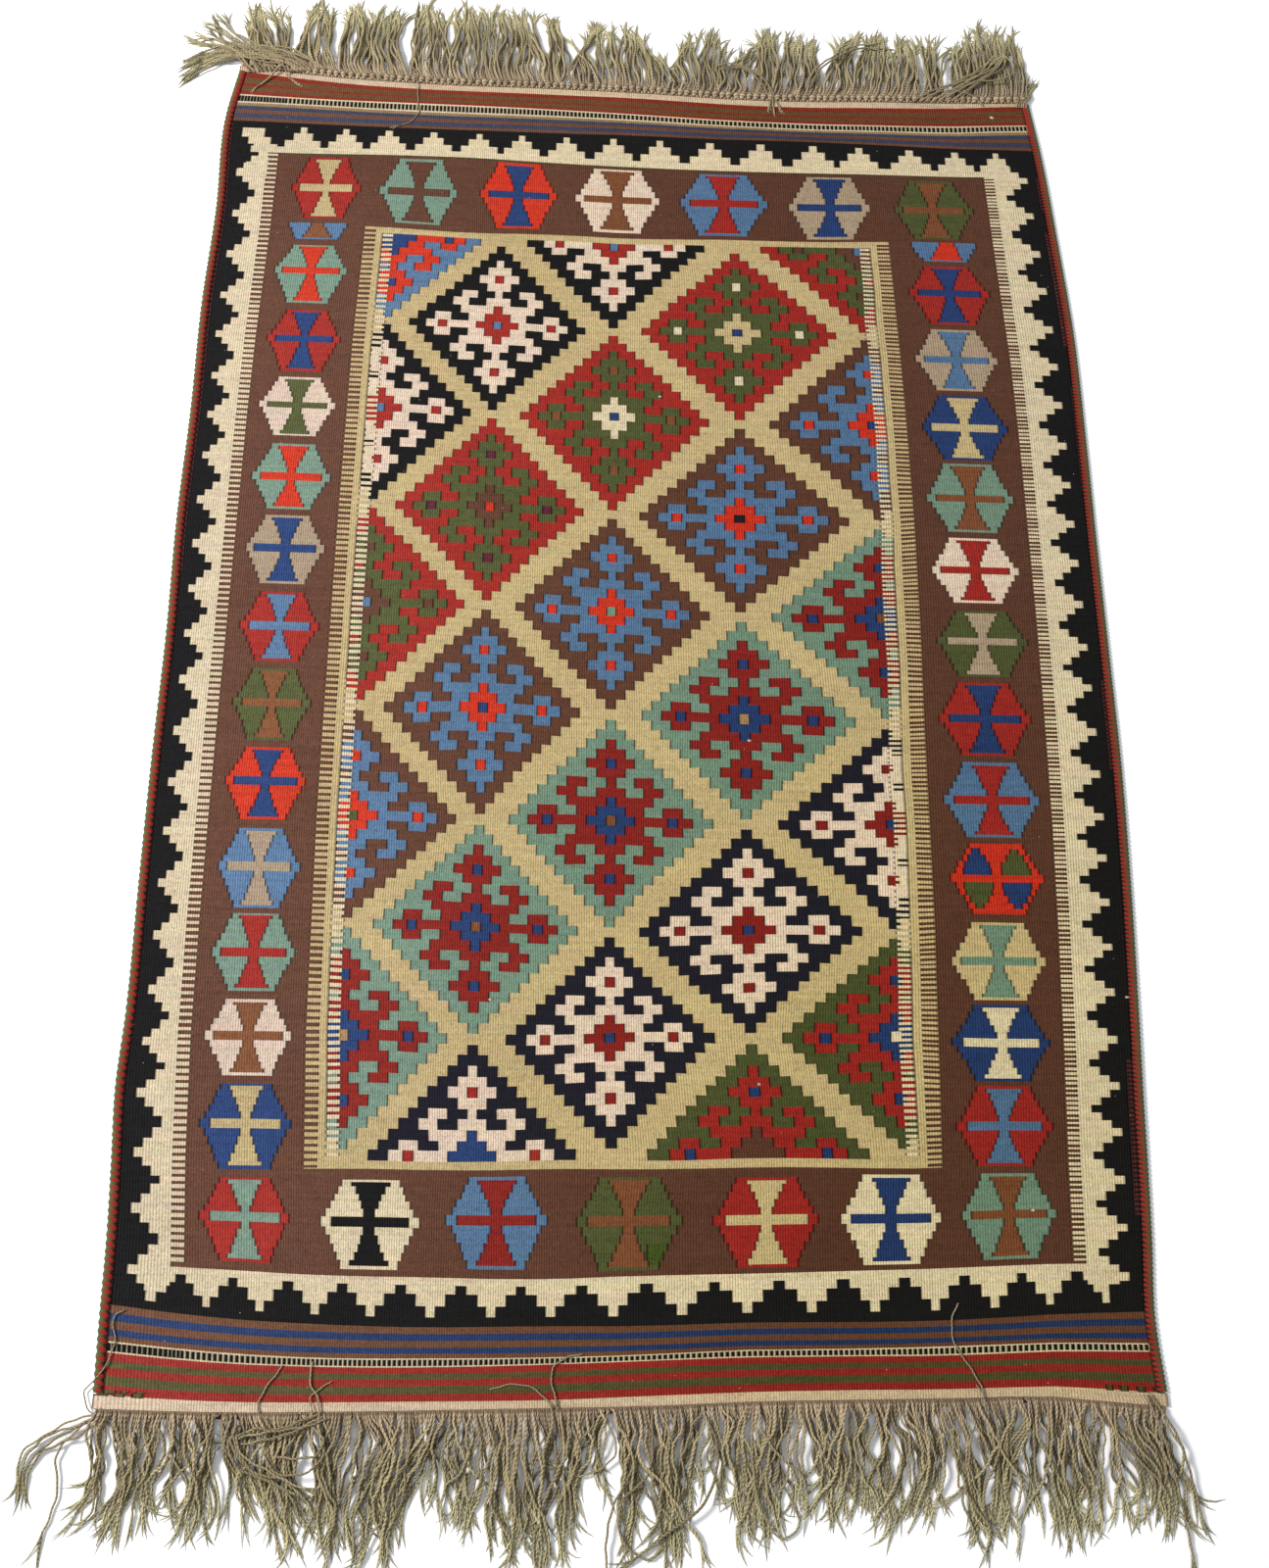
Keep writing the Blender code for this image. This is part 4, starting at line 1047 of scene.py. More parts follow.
def yarn_material(name, ply_mm, relief):
    """Matt spun wool or cotton: its own dye, with painted shade in the hollows between two twisted
    plies, which cross the yarn every few millimetres, and fine fibres."""
    material, tree, shader = new_material(name)
    dye_node = add_node(tree, "ShaderNodeAttribute", {"attribute_name": "Dye"})
    uv = add_node(tree, "ShaderNodeUVMap", {"uv_map": "Strand"})
    parts = add_node(tree, "ShaderNodeSeparateXYZ", inputs={0: uv.outputs[0]})
    turn = maths(tree, "MULTIPLY", parts.outputs["X"], 2.0 * math.pi)
    along = maths(tree, "MULTIPLY", parts.outputs["Y"], math.pi / ply_mm)
    ridge = maths(tree, "ABSOLUTE", maths(tree, "SINE", maths(tree, "ADD", turn, along)))
    place = add_node(tree, "ShaderNodeTexCoord").outputs["Object"]
    fibre = add_node(
        tree, "ShaderNodeTexNoise", inputs={"Vector": place, "Scale": 900.0, "Detail": 2.0}
    ).outputs[0]
    blotch = add_node(
        tree, "ShaderNodeTexNoise", inputs={"Vector": place, "Scale": 90.0, "Detail": 2.0}
    ).outputs[0]
    # Painted shade between the plies. The fibre and blotch noises are the yarn's own tone.
    shade = maths(tree, "ADD", 1.0 - 0.62 * relief, maths(tree, "MULTIPLY", ridge, 0.80 * relief))
    shade = maths(tree, "ADD", shade, maths(tree, "MULTIPLY", maths(tree, "SUBTRACT", fibre, 0.5), 0.5))
    shade = maths(tree, "ADD", shade, maths(tree, "MULTIPLY", maths(tree, "SUBTRACT", blotch, 0.5), 0.3))
    shaded = add_node(
        tree, "ShaderNodeVectorMath", {"operation": "SCALE"}, {0: dye_node.outputs["Color"], "Scale": shade}
    )
    height = maths(tree, "ADD", maths(tree, "MULTIPLY", ridge, relief), maths(tree, "MULTIPLY", fibre, 0.4))
    bump = add_node(tree, "ShaderNodeBump", inputs={"Strength": 0.7, "Distance": 0.0007, "Height": height})
    tree.links.new(shaded.outputs[0], shader.inputs["Base Color"])
    tree.links.new(bump.outputs[0], shader.inputs["Normal"])
    shader.inputs["Roughness"].default_value = 0.95
    shader.inputs["Specular IOR Level"].default_value = 0.05
    return material


overcast_wool = yarn_material("overcast_wool", 3.0, 0.25)
selvedge_left = add_piece("selvedge_left_binding", build_selvedge("left"), overcast_wool)
selvedge_right = add_piece("selvedge_right_binding", build_selvedge("right"), overcast_wool)
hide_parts("selvedge_left")
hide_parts("selvedge_right")

# ---------------------------------------------------------------------------------------------
# The fringes: the warps' own ends, thick two-ply yarn, held at the top by a row of oblique knots
# and at the bottom by a twined row, and loose on the floor. Their twist is drawn about 4 mm long,
# coarser than the real 3 mm, so that it shows in the picture.
# ---------------------------------------------------------------------------------------------

# How the locks lie: where, how far each reaches outwards, and how far its tip lies to the right.
TOP_FLOW = np.array(
    [
        (-0.503, 0.020, -0.066), (-0.494, 0.042, -0.056), (-0.486, 0.066, -0.046), (-0.477, 0.074, -0.038),
        (-0.440, 0.082, -0.024), (-0.410, 0.092, -0.008), (-0.360, 0.098, -0.005), (-0.320, 0.090, -0.011),
        (-0.290, 0.100, -0.015), (-0.275, 0.104, -0.006), (-0.230, 0.106, -0.010), (-0.190, 0.106, -0.008),
        (-0.140, 0.100, -0.012), (-0.105, 0.096, -0.016), (-0.080, 0.086, -0.024), (-0.058, 0.072, -0.020),
        (-0.045, 0.082, -0.010), (0.005, 0.084, -0.005), (0.022, 0.052, -0.006), (0.040, 0.040, -0.006),
        (0.052, 0.080, -0.007), (0.085, 0.084, 0.000), (0.100, 0.066, 0.008), (0.112, 0.044, 0.016),
        (0.125, 0.084, 0.015), (0.145, 0.094, 0.012), (0.190, 0.086, 0.009), (0.207, 0.074, 0.008),
        (0.216, 0.080, 0.019), (0.270, 0.094, 0.020), (0.295, 0.082, 0.016), (0.320, 0.084, 0.020),
        (0.345, 0.076, 0.015), (0.368, 0.080, 0.011), (0.384, 0.070, 0.012), (0.400, 0.080, 0.009),
        (0.430, 0.104, 0.006), (0.468, 0.100, 0.003), (0.484, 0.082, 0.008), (0.491, 0.050, 0.013),
    ]
)
BOTTOM_FLOW = np.array(
    [
        (-0.503, 0.070, -0.006), (-0.495, 0.096, -0.014), (-0.480, 0.106, -0.013), (-0.462, 0.112, -0.012),
        (-0.447, 0.070, -0.004), (-0.420, 0.094, -0.004), (-0.387, 0.090, -0.001), (-0.378, 0.056, 0.006),
        (-0.366, 0.084, 0.016), (-0.348, 0.116, 0.016), (-0.320, 0.110, 0.009), (-0.297, 0.092, 0.002),
        (-0.285, 0.120, 0.002), (-0.260, 0.112, 0.000), (-0.215, 0.122, 0.001), (-0.195, 0.076, -0.003),
        (-0.168, 0.092, 0.001), (-0.140, 0.122, 0.005), (-0.070, 0.128, 0.001), (-0.055, 0.074, 0.001),
        (-0.038, 0.040, 0.010), (-0.027, 0.124, 0.030), (0.000, 0.130, 0.026), (0.028, 0.122, 0.012),
        (0.042, 0.074, 0.003), (0.062, 0.072, 0.006), (0.088, 0.116, 0.007), (0.125, 0.104, 0.004),
        (0.160, 0.088, 0.003), (0.193, 0.092, 0.008), (0.228, 0.112, 0.008), (0.246, 0.080, 0.020),
        (0.262, 0.100, 0.026), (0.278, 0.124, 0.014), (0.325, 0.120, 0.010), (0.343, 0.064, 0.004),
        (0.355, 0.122, 0.004), (0.400, 0.122, 0.012), (0.420, 0.092, 0.010), (0.450, 0.102, 0.010),
        (0.478, 0.102, 0.022), (0.490, 0.094, 0.027),
    ]
)
# Where the floor shows between the locks: its middle (chart mm) 30 mm and 100 mm beyond the end,
# and half its width there (mm).
TOP_GAPS = [
    (14, -8, 5, 14), (74, 84, 0, 7), (125, 125, 0, 5), (214, 217, 1.5, 2), (414, 447, 2, 3),
    (540, 531, 1, 21), (607, 622, 1, 10), (730, 729, 0, 9), (892, 894, 8, 10), (858, 853, 0, 7),
]
BOTTOM_GAPS = [
    (48, 44, 0, 10), (118, 137, 4, 20), (212, 212, 0, 8), (245, 246, 0, 8), (318, 318, 0, 17),
    (472, 462, 9, 11), (497, 494, 0, 9), (563, 572, 5, 18), (606, 600, 4, 4), (650, 650, 0, 8),
    (704, 706, 0, 10), (781, 777, 1, 16), (861, 846, 3, 9), (934, 936, 3, 9),
]
FRINGE_LEFT_X, FRINGE_RIGHT_X = -0.5030, 0.4905
TIP_CURL = 1.6
FAR, FAR_PITCH = 0.130, 0.0042
# How far the strands lean aside in the first 25 mm (m), across the rug.
TOP_LEAN = np.array([(-0.503, -0.004), (-0.42, -0.008), (-0.26, -0.008), (-0.12, -0.003), (0.05, 0.003), (0.30, 0.007), (0.49, 0.003)])
BOTTOM_LEAN = np.array([(-0.503, 0.0), (0.49, 0.0)])
# A strand's own bends: how long each is and how wide it swings (mm).
TOP_BENDS = ((105, 2.2), (45, 0.9), (19, 0.30))
BOTTOM_BENDS = ((125, 4.2), (50, 1.9), (17, 0.60))
FRINGES = {
    "top": {
        "end": "top", "outward": 1.0, "begin": 0.0060, "count": 113, "flow": TOP_FLOW, "lean": TOP_LEAN, "strands": 4,
        "gaps": TOP_GAPS, "bends": TOP_BENDS, "radius": 0.00148, "steps": 23, "clump": 2.6, "pull": 0.24,
        "clump_wave": 0.0022, "clump_lean": 0.0022, "stray": 0.05, "stray_drift": 0.014, "spread": 0.0030, "lift": 0.0072,
        "shortest": 0.88, "longest": 1.14, "root_shade": 0.9, "fibres": 4,
    },
    "bottom": {
        "end": "bottom", "outward": -1.0, "begin": 0.0012, "count": 124, "flow": BOTTOM_FLOW, "lean": BOTTOM_LEAN, "strands": 4,
        "gaps": BOTTOM_GAPS, "bends": BOTTOM_BENDS, "radius": 0.00128, "steps": 25, "clump": 2.8, "pull": 0.62,
        "clump_wave": 0.0044, "clump_lean": 0.0064, "stray": 0.12, "stray_drift": 0.020, "spread": 0.0050, "lift": 0.0082,
        "shortest": 0.68, "longest": 1.02, "root_shade": 0.7, "fibres": 3,
    },
}
YARN_ROOT, YARN_MIDDLE, YARN_TIP = "#a38f76", "#978a6b", "#aaa17e"


def lock_courses(spec):
    """Each lock's root, its bend and its reach. The bends are evened out so that no lock crosses
    the next: half way between pushing the right one of a pair and pushing the left one."""
    order = np.arange(spec["count"])
    root_x = FRINGE_LEFT_X + (order + 0.5) / spec["count"] * (FRINGE_RIGHT_X - FRINGE_LEFT_X)
    flow = spec["flow"]
    reach = np.interp(root_x, flow[:, 0], flow[:, 1])
    drift = np.interp(root_x, flow[:, 0], flow[:, 2])
    least = order * FAR_PITCH
    place = root_x + drift / reach**TIP_CURL * FAR**TIP_CURL - least
    pushed_right = np.maximum.accumulate(place)
    pushed_left = np.minimum.accumulate(place[::-1])[::-1]
    bend = ((pushed_right + pushed_left) / 2 + least - root_x) / FAR**TIP_CURL
    reach = reach * (1.0 + 0.07 * np.sin(math.tau * order * 0.38))
    return root_x, bend, reach


def yarn_dyes(share, draw):
    """The yarn's colour along each strand, from its root to its tip, and a little lighter or
    darker from strand to strand."""
    root, middle, tip = linear(YARN_ROOT), linear(YARN_MIDDLE), linear(YARN_TIP)
    near = np.clip(share / 0.35, 0, 1)[..., None]
    far = np.clip((share - 0.66) / 0.26, 0, 1)[..., None]
    dyes = root + (middle - root) * near
    dyes = dyes + (tip - dyes) * far
    return dyes * draw.uniform(0.74, 1.20, share.shape[0])[:, None, None]


def part_at_gaps(x, away, root_x, gaps):
    """Move the strands' points out of the gaps, each to the side on which its strand begins. The
    points up to three half widths away are pressed together to make room."""
    for near, far, narrow, wide in gaps:
        where = np.clip((away - 0.030) / 0.070, -0.4, 1.3)
        middle = (near + (far - near) * where - CHART_ORIGIN[0]) / 1000
        half = np.maximum(narrow + (wide - narrow) * where, 0.01) / 1000
        half *= np.clip(away / 0.020, 0, 1)
        side = np.sign(root_x - (near - CHART_ORIGIN[0]) / 1000)[:, None] + 0.0 * x
        off = np.maximum((x - middle) * side, -0.6 * half)
        x = np.where(off < 3 * half, middle + side * (half + off * 2 / 3), x)
    return x


def strand_courses(spec, draw):
    """The strands' courses. Each leaves its lock's root, bends as its lock does, swings with its
    clump, winds round the clump's other strands while the clump draws in, and comes down to the
    floor at its tip. A few strays lie across the rest."""
    lock_x, lock_bend, lock_reach = lock_courses(spec)
    each, radius = spec["strands"], spec["radius"]
    lock = np.repeat(np.arange(spec["count"]), each)
    slot = np.tile(np.arange(each), spec["count"]) - (each - 1) / 2
    count = len(lock)
    pitch = lock_x[1] - lock_x[0]
    share = np.linspace(0, 1, spec["steps"])[None, :] * np.ones((count, 1))
    root_x = lock_x[lock] + slot * pitch / each * 0.9
    root_y = end_y(spec["end"], root_x)
    root_z = rim_lift(root_x, root_y)[:, None]
    reach = lock_reach[lock] * draw.uniform(spec["shortest"], spec["longest"], count)
    away = reach[:, None] * share
    x = root_x[:, None] + lock_bend[lock][:, None] * away**TIP_CURL
    lean = np.interp(root_x, spec["lean"][:, 0], spec["lean"][:, 1])[:, None]
    x += lean * away / 0.025 * np.exp(1 - away / 0.025)
    clump = np.cumsum(draw.random(spec["count"]) < 1 / spec["clump"])[lock]
    clumps = clump.max() + 1
    total, members = np.zeros((clumps, spec["steps"])), np.zeros((clumps, 1))
    np.add.at(total, clump, x)
    np.add.at(members, clump, 1)
    pull = draw.uniform(0.05, spec["pull"], clumps)[clump][:, None]
    gather = np.clip(share / 0.75, 0, 1) ** 1.3
    x += ((total / np.maximum(members, 1))[clump] - x) * pull * gather
    leave = np.clip(share / 0.3, 0, 1) ** 2 * (3 - 2 * np.clip(share / 0.3, 0, 1))
    swing = draw.normal(0, spec["clump_wave"], clumps)[clump][:, None]
    turn = draw.uniform(0.5, 1.0, clumps)[clump][:, None]
    begin = draw.uniform(0, 1, clumps)[clump][:, None]
    x += swing * np.sin(math.tau * (turn * share + begin)) * leave
    x += draw.normal(0, spec["clump_lean"], clumps)[clump][:, None] * share**1.3
    x = part_at_gaps(x, away, root_x, spec["gaps"])
    for length, size in spec["bends"]:
        angle = math.tau * (away * 1000 / length + draw.uniform(0, 1, count)[:, None])
        x += size / 1000 * draw.uniform(0.3, 1.7, count)[:, None] * np.sin(angle) * leave
    stray = ((draw.random(count) < spec["stray"]) & (np.abs(root_x) < 0.46))[:, None]
    x += draw.normal(0, spec["stray_drift"], count)[:, None] * share**1.4 * stray
    x += draw.normal(0, spec["spread"], count)[:, None] * share**2.2
    x = np.clip(x, -0.574 + 0.004 * share, 0.538 + 0.004 * share)
    y = root_y[:, None] + spec["outward"] * (spec["begin"] + away)
    y += spec["outward"] * 0.0012 * np.sin(angle * 0.7) * leave
    width = draw.uniform(0.80, 1.20, count)[:, None]
    radii = radius * width * (1 + 0.16 * np.exp(-(((share - 0.84) / 0.08) ** 2)))
    radii *= 1 - 0.80 * np.clip((share - 0.84) / 0.16, 0, 1)
    arch = np.sin(math.pi * share**0.7)
    level = np.where(stray, 0.9, 0.75 * draw.uniform(0, 1, count)[:, None] + 0.12 * np.sin(angle * 0.5))
    rise = spec["lift"] * level * arch + (root_z + 0.0014) * np.clip(1 - 3 * share, 0, 1)
    z = np.maximum(radius * (1.4 - 0.6 * share) + rise, 1.03 * radii)
    # The strands below the others are duller, as little light reaches them.
    buried = (1 - np.clip(z / 0.0062, 0, 1)) * (1 - np.clip((share - 0.70) / 0.25, 0, 1))
    dyes = yarn_dyes(share, draw) * (1.06 - 0.64 * buried)[..., None]
    dyes *= np.where(share < 0.03, spec["root_shade"], 1.0)[..., None]
    return np.stack([x, y, z], axis=-1), radii, dyes


def fibre_courses(points, dyes, each, draw):
    """The frayed tips: from near the end of each strand, fine loose fibres run on side by side
    and part a little, as a soft brush."""
    steps, back = 5, 4
    start = np.repeat(points[:, -back], each, axis=0)
    heading = points[:, -1, :2] - points[:, -back, :2]
    heading = np.repeat(np.arctan2(heading[:, 1], heading[:, 0]), each)
    count = len(start)
    heading += draw.normal(0, 0.075, count)
    curl = draw.normal(0, 0.14, count) + np.repeat(draw.normal(0, 0.24, len(points)), each)
    length = draw.uniform(0.020, 0.036, count)
    share = np.linspace(0, 1, steps)[None, :]
    angle = heading[:, None] + curl[:, None] * share
    x = start[:, 0, None] + length[:, None] * share * np.cos(angle)
    y = start[:, 1, None] + length[:, None] * share * np.sin(angle)
    radii = (0.00110 * np.sin(math.pi * (0.34 + 0.64 * share)) + 0.00006) * np.ones((count, 1))
    radii *= draw.uniform(0.7, 1.15, count)[:, None]
    z = (start[:, 2, None] + draw.uniform(-0.0008, 0.0012, count)[:, None]) * (1 - share)
    z = np.maximum(z, 1.05 * radii)
    colours = np.repeat(dyes[:, -1:], each, axis=0) * (0.94 + 0.26 * share)[..., None]
    colours = colours * draw.uniform(0.92, 1.15, count)[:, None, None]
    return np.stack([x, y, z], axis=-1), radii, colours


def free_strand(route, radius, draw, steps=36, dye=None):
    """A strand through a few given places (chart mm, and height in mm), on a smooth course, with
    a tapering tip, which build_fringe frays with loose fibres."""
    route = np.array(route, float)
    span = np.linalg.norm(np.diff(route, axis=0), axis=1)
    at = np.concatenate([[0], np.cumsum(span)])
    share = np.linspace(0, 1, steps)
    line = np.column_stack([smooth_line(at, route[:, i], share * at[-1]) for i in range(3)])
    line[:, :2] += 0.45 * np.sin(share[:, None] * at[-1] / 3.1 + draw.uniform(0, math.tau, 2)) * np.clip(share * 8, 0, 1)[:, None]
    radii = radius * (1 - 0.8 * np.clip((share - 0.88) / 0.12, 0, 1) ** 1.5)
    line[:, 2] = np.maximum(line[:, 2], 1030 * radii)
    points = np.column_stack(
        [(line[:, 0] - CHART_ORIGIN[0]) / 1000, (CHART_ORIGIN[1] - line[:, 1]) / 1000, line[:, 2] / 1000]
    )
    dyes = 0.86 * yarn_dyes(share[None], draw)[0]
    if dye:
        dyes = linear(dye) * np.ones((steps, 1))
    return points, radii, dyes


def free_strands(routes, draw):
    made = [free_strand(route, radius, draw, dye=dye) for route, radius, dye in routes]
    return tuple(np.stack([strand[i] for strand in made]) for i in range(3))


def spread_routes(first, last, count, radius, bow=0.0):
    """Routes side by side: from the first to the last, in even steps, each with waves of its own."""
    first, last = np.array(first, float), np.array(last, float)
    routes = []
    for i in range(count):
        share = i / max(count - 1, 1)
        route = first + (last - first) * share
        route[1:-1, 1] += bow * np.sin(2.3 * i + 1.9 * np.arange(len(route) - 2))
        route[-1, :2] += (bow * math.sin(5.1 * i), bow * math.cos(3.7 * i))
        routes.append((route, radius, None))
    return routes


TOP_ROUTES = (
    spread_routes(
        [(66, 0, 5), (52, -9, 8), (32, -13, 9), (10, -15, 9), (-14, -14, 7), (-36, -5, 4), (-56, 10, 1.6)],
        [(110, -6, 5), (90, -18, 10), (64, -28, 12), (36, -32, 12), (6, -36, 9), (-24, -34, 5), (-56, -22, 1.6)],
        13, 0.0013, 3.0,
    )
    + spread_routes(
        [(16, 2, 4), (6, -10, 8), (-6, -22, 9), (-18, -31, 7), (-30, -38, 4), (-42, -44, 1.6)],
        [(62, -4, 4), (44, -20, 9), (24, -32, 11), (4, -46, 10), (-12, -62, 6), (-24, -82, 1.6)],
        10, 0.0013, 3.0,
    )
    + spread_routes(
        [(850, 4, 5), (872, -9, 9), (906, -26, 11), (938, -48, 8), (958, -74, 3)],
        [(908, 0, 5), (926, -16, 9), (948, -34, 11), (968, -54, 8), (982, -82, 3)],
        8, 0.0013, 2.5,
    )
    + spread_routes(
        [(984, 6, 4), (987, -5, 6), (992, -12, 5), (996, -20, 1.6)],
        [(996, 6, 4), (997, -3, 5), (1002, -9, 4), (1004, -18, 1.6)],
        5, 0.0013, 1.5,
    )
    + [
        ([(56, -8, 8), (50, -2, 8.5), (42, 8, 5.5), (34, 17, 4.2), (26, 24, 3.8)], 0.0012, "#a38a6c"),
        ([(68, -32, 11), (57, -17, 11), (59, 0, 8), (64, 8, 4.2), (71, 14, 3.8)], 0.0007, "#94836a"),
        ([(214, -16, 7), (221, -6, 9), (224, 10, 5), (225, 34, 3.5), (226, 56, 3.4), (215, 70, 3.4), (196, 78, 3.4)], 0.0007, "#8e8069"),
        ([(600, -36, 9), (617, -39, 11), (634, -33, 12), (652, -25, 11), (665, -8, 8), (670, 12, 4.2), (672, 34, 3.5)], 0.0009, "#94866a"),
        ([(604, -30, 9), (620, -35, 11), (638, -29, 12), (655, -20, 11), (668, -4, 8), (674, 10, 4.2), (680, 25, 3.5)], 0.0009, "#8a7c62"),
        ([(612, -34, 9), (630, -32, 11), (646, -22, 11), (658, -8, 8), (666, 6, 4.2), (668, 20, 3.5)], 0.0008, "#94866a"),
        ([(712, -8, 8), (724, -34, 11), (745, -54, 11), (778, -79, 8), (806, -88, 4)], 0.0012, None),
        ([(718, -8, 8), (732, -36, 11), (754, -56, 11), (786, -76, 8), (812, -80, 4)], 0.0012, None),
        ([(893, -2, 8), (912, -14, 11), (936, -27, 12), (958, -29, 12), (976, -38, 11), (984, -60, 8), (972, -80, 5)], 0.0011, None),
        ([(874, -6, 8), (898, -12, 10), (918, -9, 9), (932, -5, 7)], 0.0008, "#94866a"),
    ]
)
BOTTOM_ROUTES = (
    spread_routes(
        [(6, 1556, 4), (-12, 1560, 6), (-38, 1572, 5), (-56, 1588, 3), (-60, 1602, 1.6), (-56, 1612, 1.6)],
        [(8, 1560, 4), (-6, 1572, 6), (-26, 1580, 5), (-42, 1592, 3), (-49, 1604, 1.6), (-52, 1612, 1.6)],
        4, 0.0011, 2.0,
    )
    + spread_routes(
        [(118, 1561, 4), (125, 1576, 8), (135, 1596, 11), (150, 1608, 11), (172, 1615, 10), (192, 1629, 6)],
        [(136, 1561, 4), (133, 1574, 8), (143, 1591, 11), (158, 1602, 11), (178, 1610, 10), (200, 1620, 6)],
        4, 0.0012, 2.2,
    )
    + spread_routes(
        [(206, 1556, 5), (190, 1562, 10), (166, 1568, 11), (150, 1569, 11), (136, 1572, 8)],
        [(214, 1560, 5), (196, 1568, 10), (170, 1575, 11), (154, 1577, 11), (140, 1581, 8)],
        3, 0.0012, 1.6,
    )
    + [
        ([(172, 1592, 9), (191, 1593, 11), (208, 1589, 11), (212, 1577, 10), (199, 1566, 8)], 0.0011, None),
        ([(158, 1586, 9), (170, 1604, 11), (188, 1607, 11), (205, 1601, 11), (213, 1588, 10), (206, 1570, 8)], 0.0011, None),
        ([(-3, 1562, 6), (-26, 1590, 4), (-22, 1618, 3), (-33, 1662, 1.6)], 0.0011, None),
    ]
    + [
        ([(470, 1560, 5), (478, 1590, 6), (462, 1604, 5), (440, 1608, 4), (428, 1600, 4)], 0.0010, None),
        ([(506, 1556, 5), (494, 1600, 8), (474, 1640, 7), (470, 1680, 4), (474, 1700, 1.6)], 0.0012, None),
        ([(512, 1556, 5), (506, 1610, 8), (484, 1630, 7), (486, 1664, 4), (510, 1678, 3), (524, 1664, 2)], 0.0012, None),
        ([(560, 1552, 5), (572, 1590, 8), (560, 1630, 8), (520, 1660, 5), (488, 1684, 1.6)], 0.0014, None),
        ([(588, 1548, 5), (594, 1580, 7), (612, 1594, 7), (624, 1584, 7), (620, 1560, 5)], 0.0012, None),
        ([(606, 1548, 5), (604, 1600, 8), (612, 1640, 6), (632, 1662, 3), (646, 1650, 2), (640, 1630, 2)], 0.0011, None),
        ([(980, 1540, 5), (992, 1580, 8), (1002, 1630, 5), (1010, 1687, 1.6)], 0.0013, None),
        ([(984, 1540, 5), (1004, 1576, 8), (1016, 1620, 5), (1022, 1652, 1.6)], 0.0013, None),
        ([(21, 1466, 3.6), (13, 1470, 4.2), (15, 1494, 4), (6, 1520, 5), (-8, 1538, 3), (-1, 1553, 4), (10, 1560, 5)], 0.0007, "#8f836c"),
        ([(170, 1514, 3.4), (160, 1528, 4), (151, 1544, 4), (152, 1562, 5)], 0.0008, "#8f8069"),
        ([(197, 1511, 3.4), (196, 1528, 4.4), (204, 1543, 5), (206, 1558, 6), (196, 1568, 8)], 0.0009, "#988869"),
        ([(216, 1528, 3.4), (206, 1534, 4), (198, 1540, 4.4), (200, 1556, 6)], 0.0006, "#988869"),
        ([(447, 1504, 3.4), (430, 1508, 4), (419, 1517, 4), (419, 1532, 4.2), (424, 1548, 5)], 0.0008, "#8e8069"),
        ([(361, 1535, 3.4), (378, 1531, 4), (396, 1532, 4.4), (410, 1540, 5), (420, 1552, 6)], 0.0008, "#8e8069"),
        ([(806, 1458, 3.4), (799, 1472, 4), (799, 1492, 4), (812, 1514, 4.2), (822, 1532, 4.6), (826, 1552, 5)], 0.0008, "#8e8069"),
        ([(818, 1531, 3.4), (824, 1541, 4), (820, 1554, 5)], 0.0007, "#8e8069"),
    ]
)


def knot_row(draw):
    """The top's knots: short thick wraps side by side, each from the web's end up and a little to
    the right, none quite like the next, over a narrow base that closes the gaps below them."""
    count, steps = FRINGES["top"]["count"], 9
    order = np.arange(count)
    x = FRINGE_LEFT_X + (order + 0.5) / count * (FRINGE_RIGHT_X - FRINGE_LEFT_X)
    share = np.linspace(0, 1, steps)[None, :]
    x = x + draw.uniform(-0.0009, 0.0009, count)
    along = x[:, None] + draw.uniform(0.0016, 0.0060, count)[:, None] * (share - 0.5)
    y = end_y("top", x)[:, None] + 0.0022 + draw.uniform(0.0060, 0.0086, count)[:, None] * share
    z = rim_lift(x, end_y("top", x))[:, None] + 0.0034 + draw.uniform(0.0004, 0.0016, count)[:, None] * np.sin(math.pi * share)
    radii = 0.0012 + 0.0029 * np.sin(math.pi * (0.10 + 0.72 * share)) * np.ones((count, 1))
    radii *= draw.uniform(0.84, 1.08, count)[:, None]
    # Painted shade: each knot is lighter at its foot and darker towards its upper end, the side away from the light.
    shade = linear("#ab987e") + (linear("#84765e") - linear("#ab987e")) * share[..., None]
    dyes = shade * draw.uniform(0.80, 1.12, count)[:, None, None]
    return np.stack([along, y, z * np.ones_like(along)], axis=-1), radii, dyes


def speck_row(draw):
    """The ends of the wefts below the knots, as small pale lumps at the web's end."""
    x = np.arange(FRINGE_LEFT_X + 0.003, FRINGE_RIGHT_X, 0.0044)
    x = x + draw.uniform(-0.0006, 0.0006, len(x))
    share = np.array([[0.0, 0.5, 1.0]])
    along = x[:, None] + 0.0016 * (share - 0.5)
    y = end_y("top", x)[:, None] + 0.0010 + draw.uniform(0.0018, 0.0034, len(x))[:, None] * share
    z = rim_lift(x, end_y("top", x))[:, None] + 0.0028 + 0 * share
    radii = np.array([[0.0006, 0.0011, 0.0005]]) * draw.uniform(0.7, 1.2, len(x))[:, None]
    dyes = linear("#d2bc9b") * draw.uniform(0.75, 1.15, len(x))[:, None, None] * np.ones((1, 3, 1))
    return np.stack([along, y, z], axis=-1), radii, dyes


def cord_along(end, offset, height, radius, dye):
    """A cord along one end of the web, from side to side."""
    x = np.linspace(FRINGE_LEFT_X, FRINGE_RIGHT_X, 260)
    outward = 1.0 if end == "top" else -1.0
    y = end_y(end, x) + outward * offset
    z = rim_lift(x, end_y(end, x)) + height
    return (
        np.column_stack([x, y, z])[None],
        np.full((1, len(x)), radius),
        linear(dye) * np.ones((1, len(x), 1)),
    )


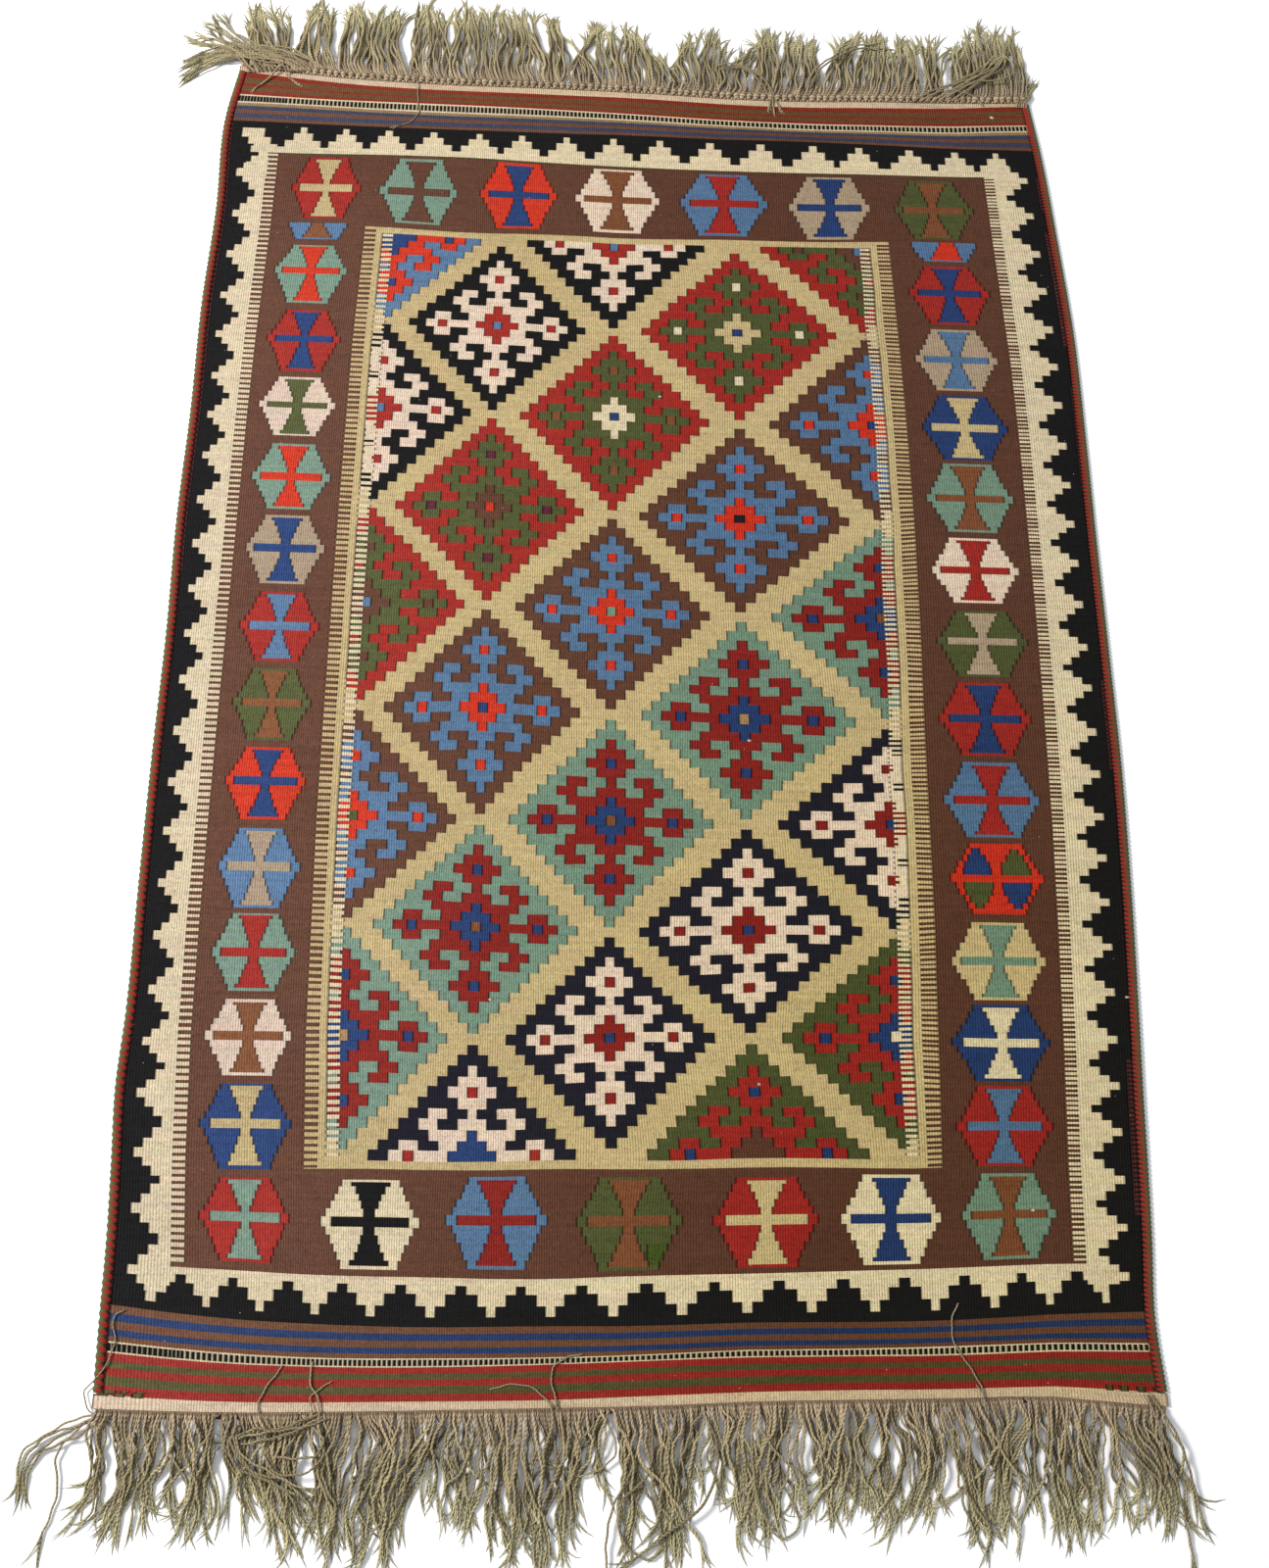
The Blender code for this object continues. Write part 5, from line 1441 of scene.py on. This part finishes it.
def build_fringe(end, seed, routes, extras):
    spec = FRINGES[end]
    draw = np.random.default_rng(seed)
    points, radii, dyes = strand_courses(spec, draw)
    fibres = fibre_courses(points, dyes, spec["fibres"], draw)
    loose = free_strands(routes, draw)
    loose_fibres = fibre_courses(loose[0], loose[2], 4, draw)
    parts = [
        tube_parts(points, radii, 5, dyes, (0.01, 0.01, 0.99, 0.60)),
        tube_parts(*fibres[:2], 3, fibres[2], (0.01, 0.61, 0.99, 0.70)),
        tube_parts(*loose[:2], 5, loose[2], (0.01, 0.71, 0.99, 0.85)),
        tube_parts(*loose_fibres[:2], 3, loose_fibres[2], (0.01, 0.855, 0.99, 0.88)),
    ]
    room = 0.11 / len(extras(draw))
    for i, (courses, thick, colours, sides, flat) in enumerate(extras(np.random.default_rng(seed))):
        area = (0.01, 0.885 + i * room, 0.99, 0.885 + (i + 0.9) * room)
        parts.append(tube_parts(courses, thick, sides, colours, area, flat))
    return mesh_of_parts("fringe_" + end, parts)


def top_extras(draw):
    return [
        (*knot_row(draw), 8, 0.7),
        (*speck_row(draw), 5, 1.0),
        # The cord under the knots fills the gaps below them, and its darker colour there is partly painted shade
        # between the knots.
        (*cord_along("top", 0.0042, 0.0016, 0.0036, "#85765e"), 8, 0.4),
    ]


def bottom_extras(draw):
    return [
        # The wide dark cord is a base under the roots, partly the twined row and partly painted shade between the
        # roots. The thin cord is the twined row's pale line.
        (*cord_along("bottom", 0.0030, 0.0014, 0.0028, "#54443a"), 8, 0.45),
        (*cord_along("bottom", 0.0010, 0.0018, 0.0009, "#8a6d5c"), 6, 1.0),
    ]


fringe_yarn = yarn_material("two_ply_fringe_yarn", 4.2, 0.95)
fringe_top = add_piece("fringe_top_yarns", build_fringe("top", 11, TOP_ROUTES, top_extras), fringe_yarn)
fringe_bottom = add_piece(
    "fringe_bottom_yarns", build_fringe("bottom", 23, BOTTOM_ROUTES, bottom_extras), fringe_yarn
)
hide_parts("fringe_top")
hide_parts("fringe_bottom")

# ---------------------------------------------------------------------------------------------
# The studio: a plain white floor, a large soft light from the left and a pale fill, and the
# camera where the photograph was taken from.
# ---------------------------------------------------------------------------------------------


def flat_floor(half):
    points = [(-half, -half, 0), (half, -half, 0), (half, half, 0), (-half, half, 0)]
    mesh = bpy.data.meshes.new("studio_floor")
    mesh.from_pydata(points, [], [(0, 1, 2, 3)])
    return mesh


floor_material, floor_tree, floor_shader = new_material("white_studio_floor")
floor_shader.inputs["Base Color"].default_value = (0.93, 0.93, 0.94, 1.0)
floor_shader.inputs["Roughness"].default_value = 0.8
floor = bpy.data.objects.new("studio_floor", flat_floor(6.0))
floor.data.materials.append(floor_material)
bpy.context.scene.collection.objects.link(floor)


def soft_light(name, place, target, size, power, colour):
    data = bpy.data.lights.new(name, "AREA")
    data.shape = "DISK"
    data.size = size
    data.energy = power
    data.color = colour
    light = bpy.data.objects.new(name, data)
    light.location = place
    light.rotation_euler = (Vector(target) - Vector(place)).to_track_quat("-Z", "Y").to_euler()
    bpy.context.scene.collection.objects.link(light)


soft_light("soft_left_light", (-3.2, 0.5, 2.7), (0.1, 0.0, 0.0), 1.2, 240.0, (1.0, 0.985, 0.96))
world = bpy.data.worlds.new("pale_room")
world.use_nodes = True
world.node_tree.nodes["Background"].inputs["Color"].default_value = (0.93, 0.96, 1.0, 1.0)
world.node_tree.nodes["Background"].inputs["Strength"].default_value = 0.62
bpy.context.scene.world = world

camera_data = bpy.data.cameras.new("camera")
camera_data.lens = 36.41
camera_data.sensor_width = 36.0
camera_data.clip_start = 0.05
camera = bpy.data.objects.new("camera", camera_data)
right_axis = (0.998363, 0.000198, 0.057199)
up_axis = (-0.019796, 0.939393, 0.342269)
back_axis = (-0.053664, -0.342841, 0.937859)
turn = Matrix((right_axis, up_axis, back_axis)).transposed()
camera.matrix_world = Matrix.Translation((-0.10189, -0.74174, 1.57992)) @ turn.to_4x4()
bpy.context.scene.collection.objects.link(camera)
bpy.context.scene.camera = camera
bpy.context.scene.view_settings.view_transform = "Standard"
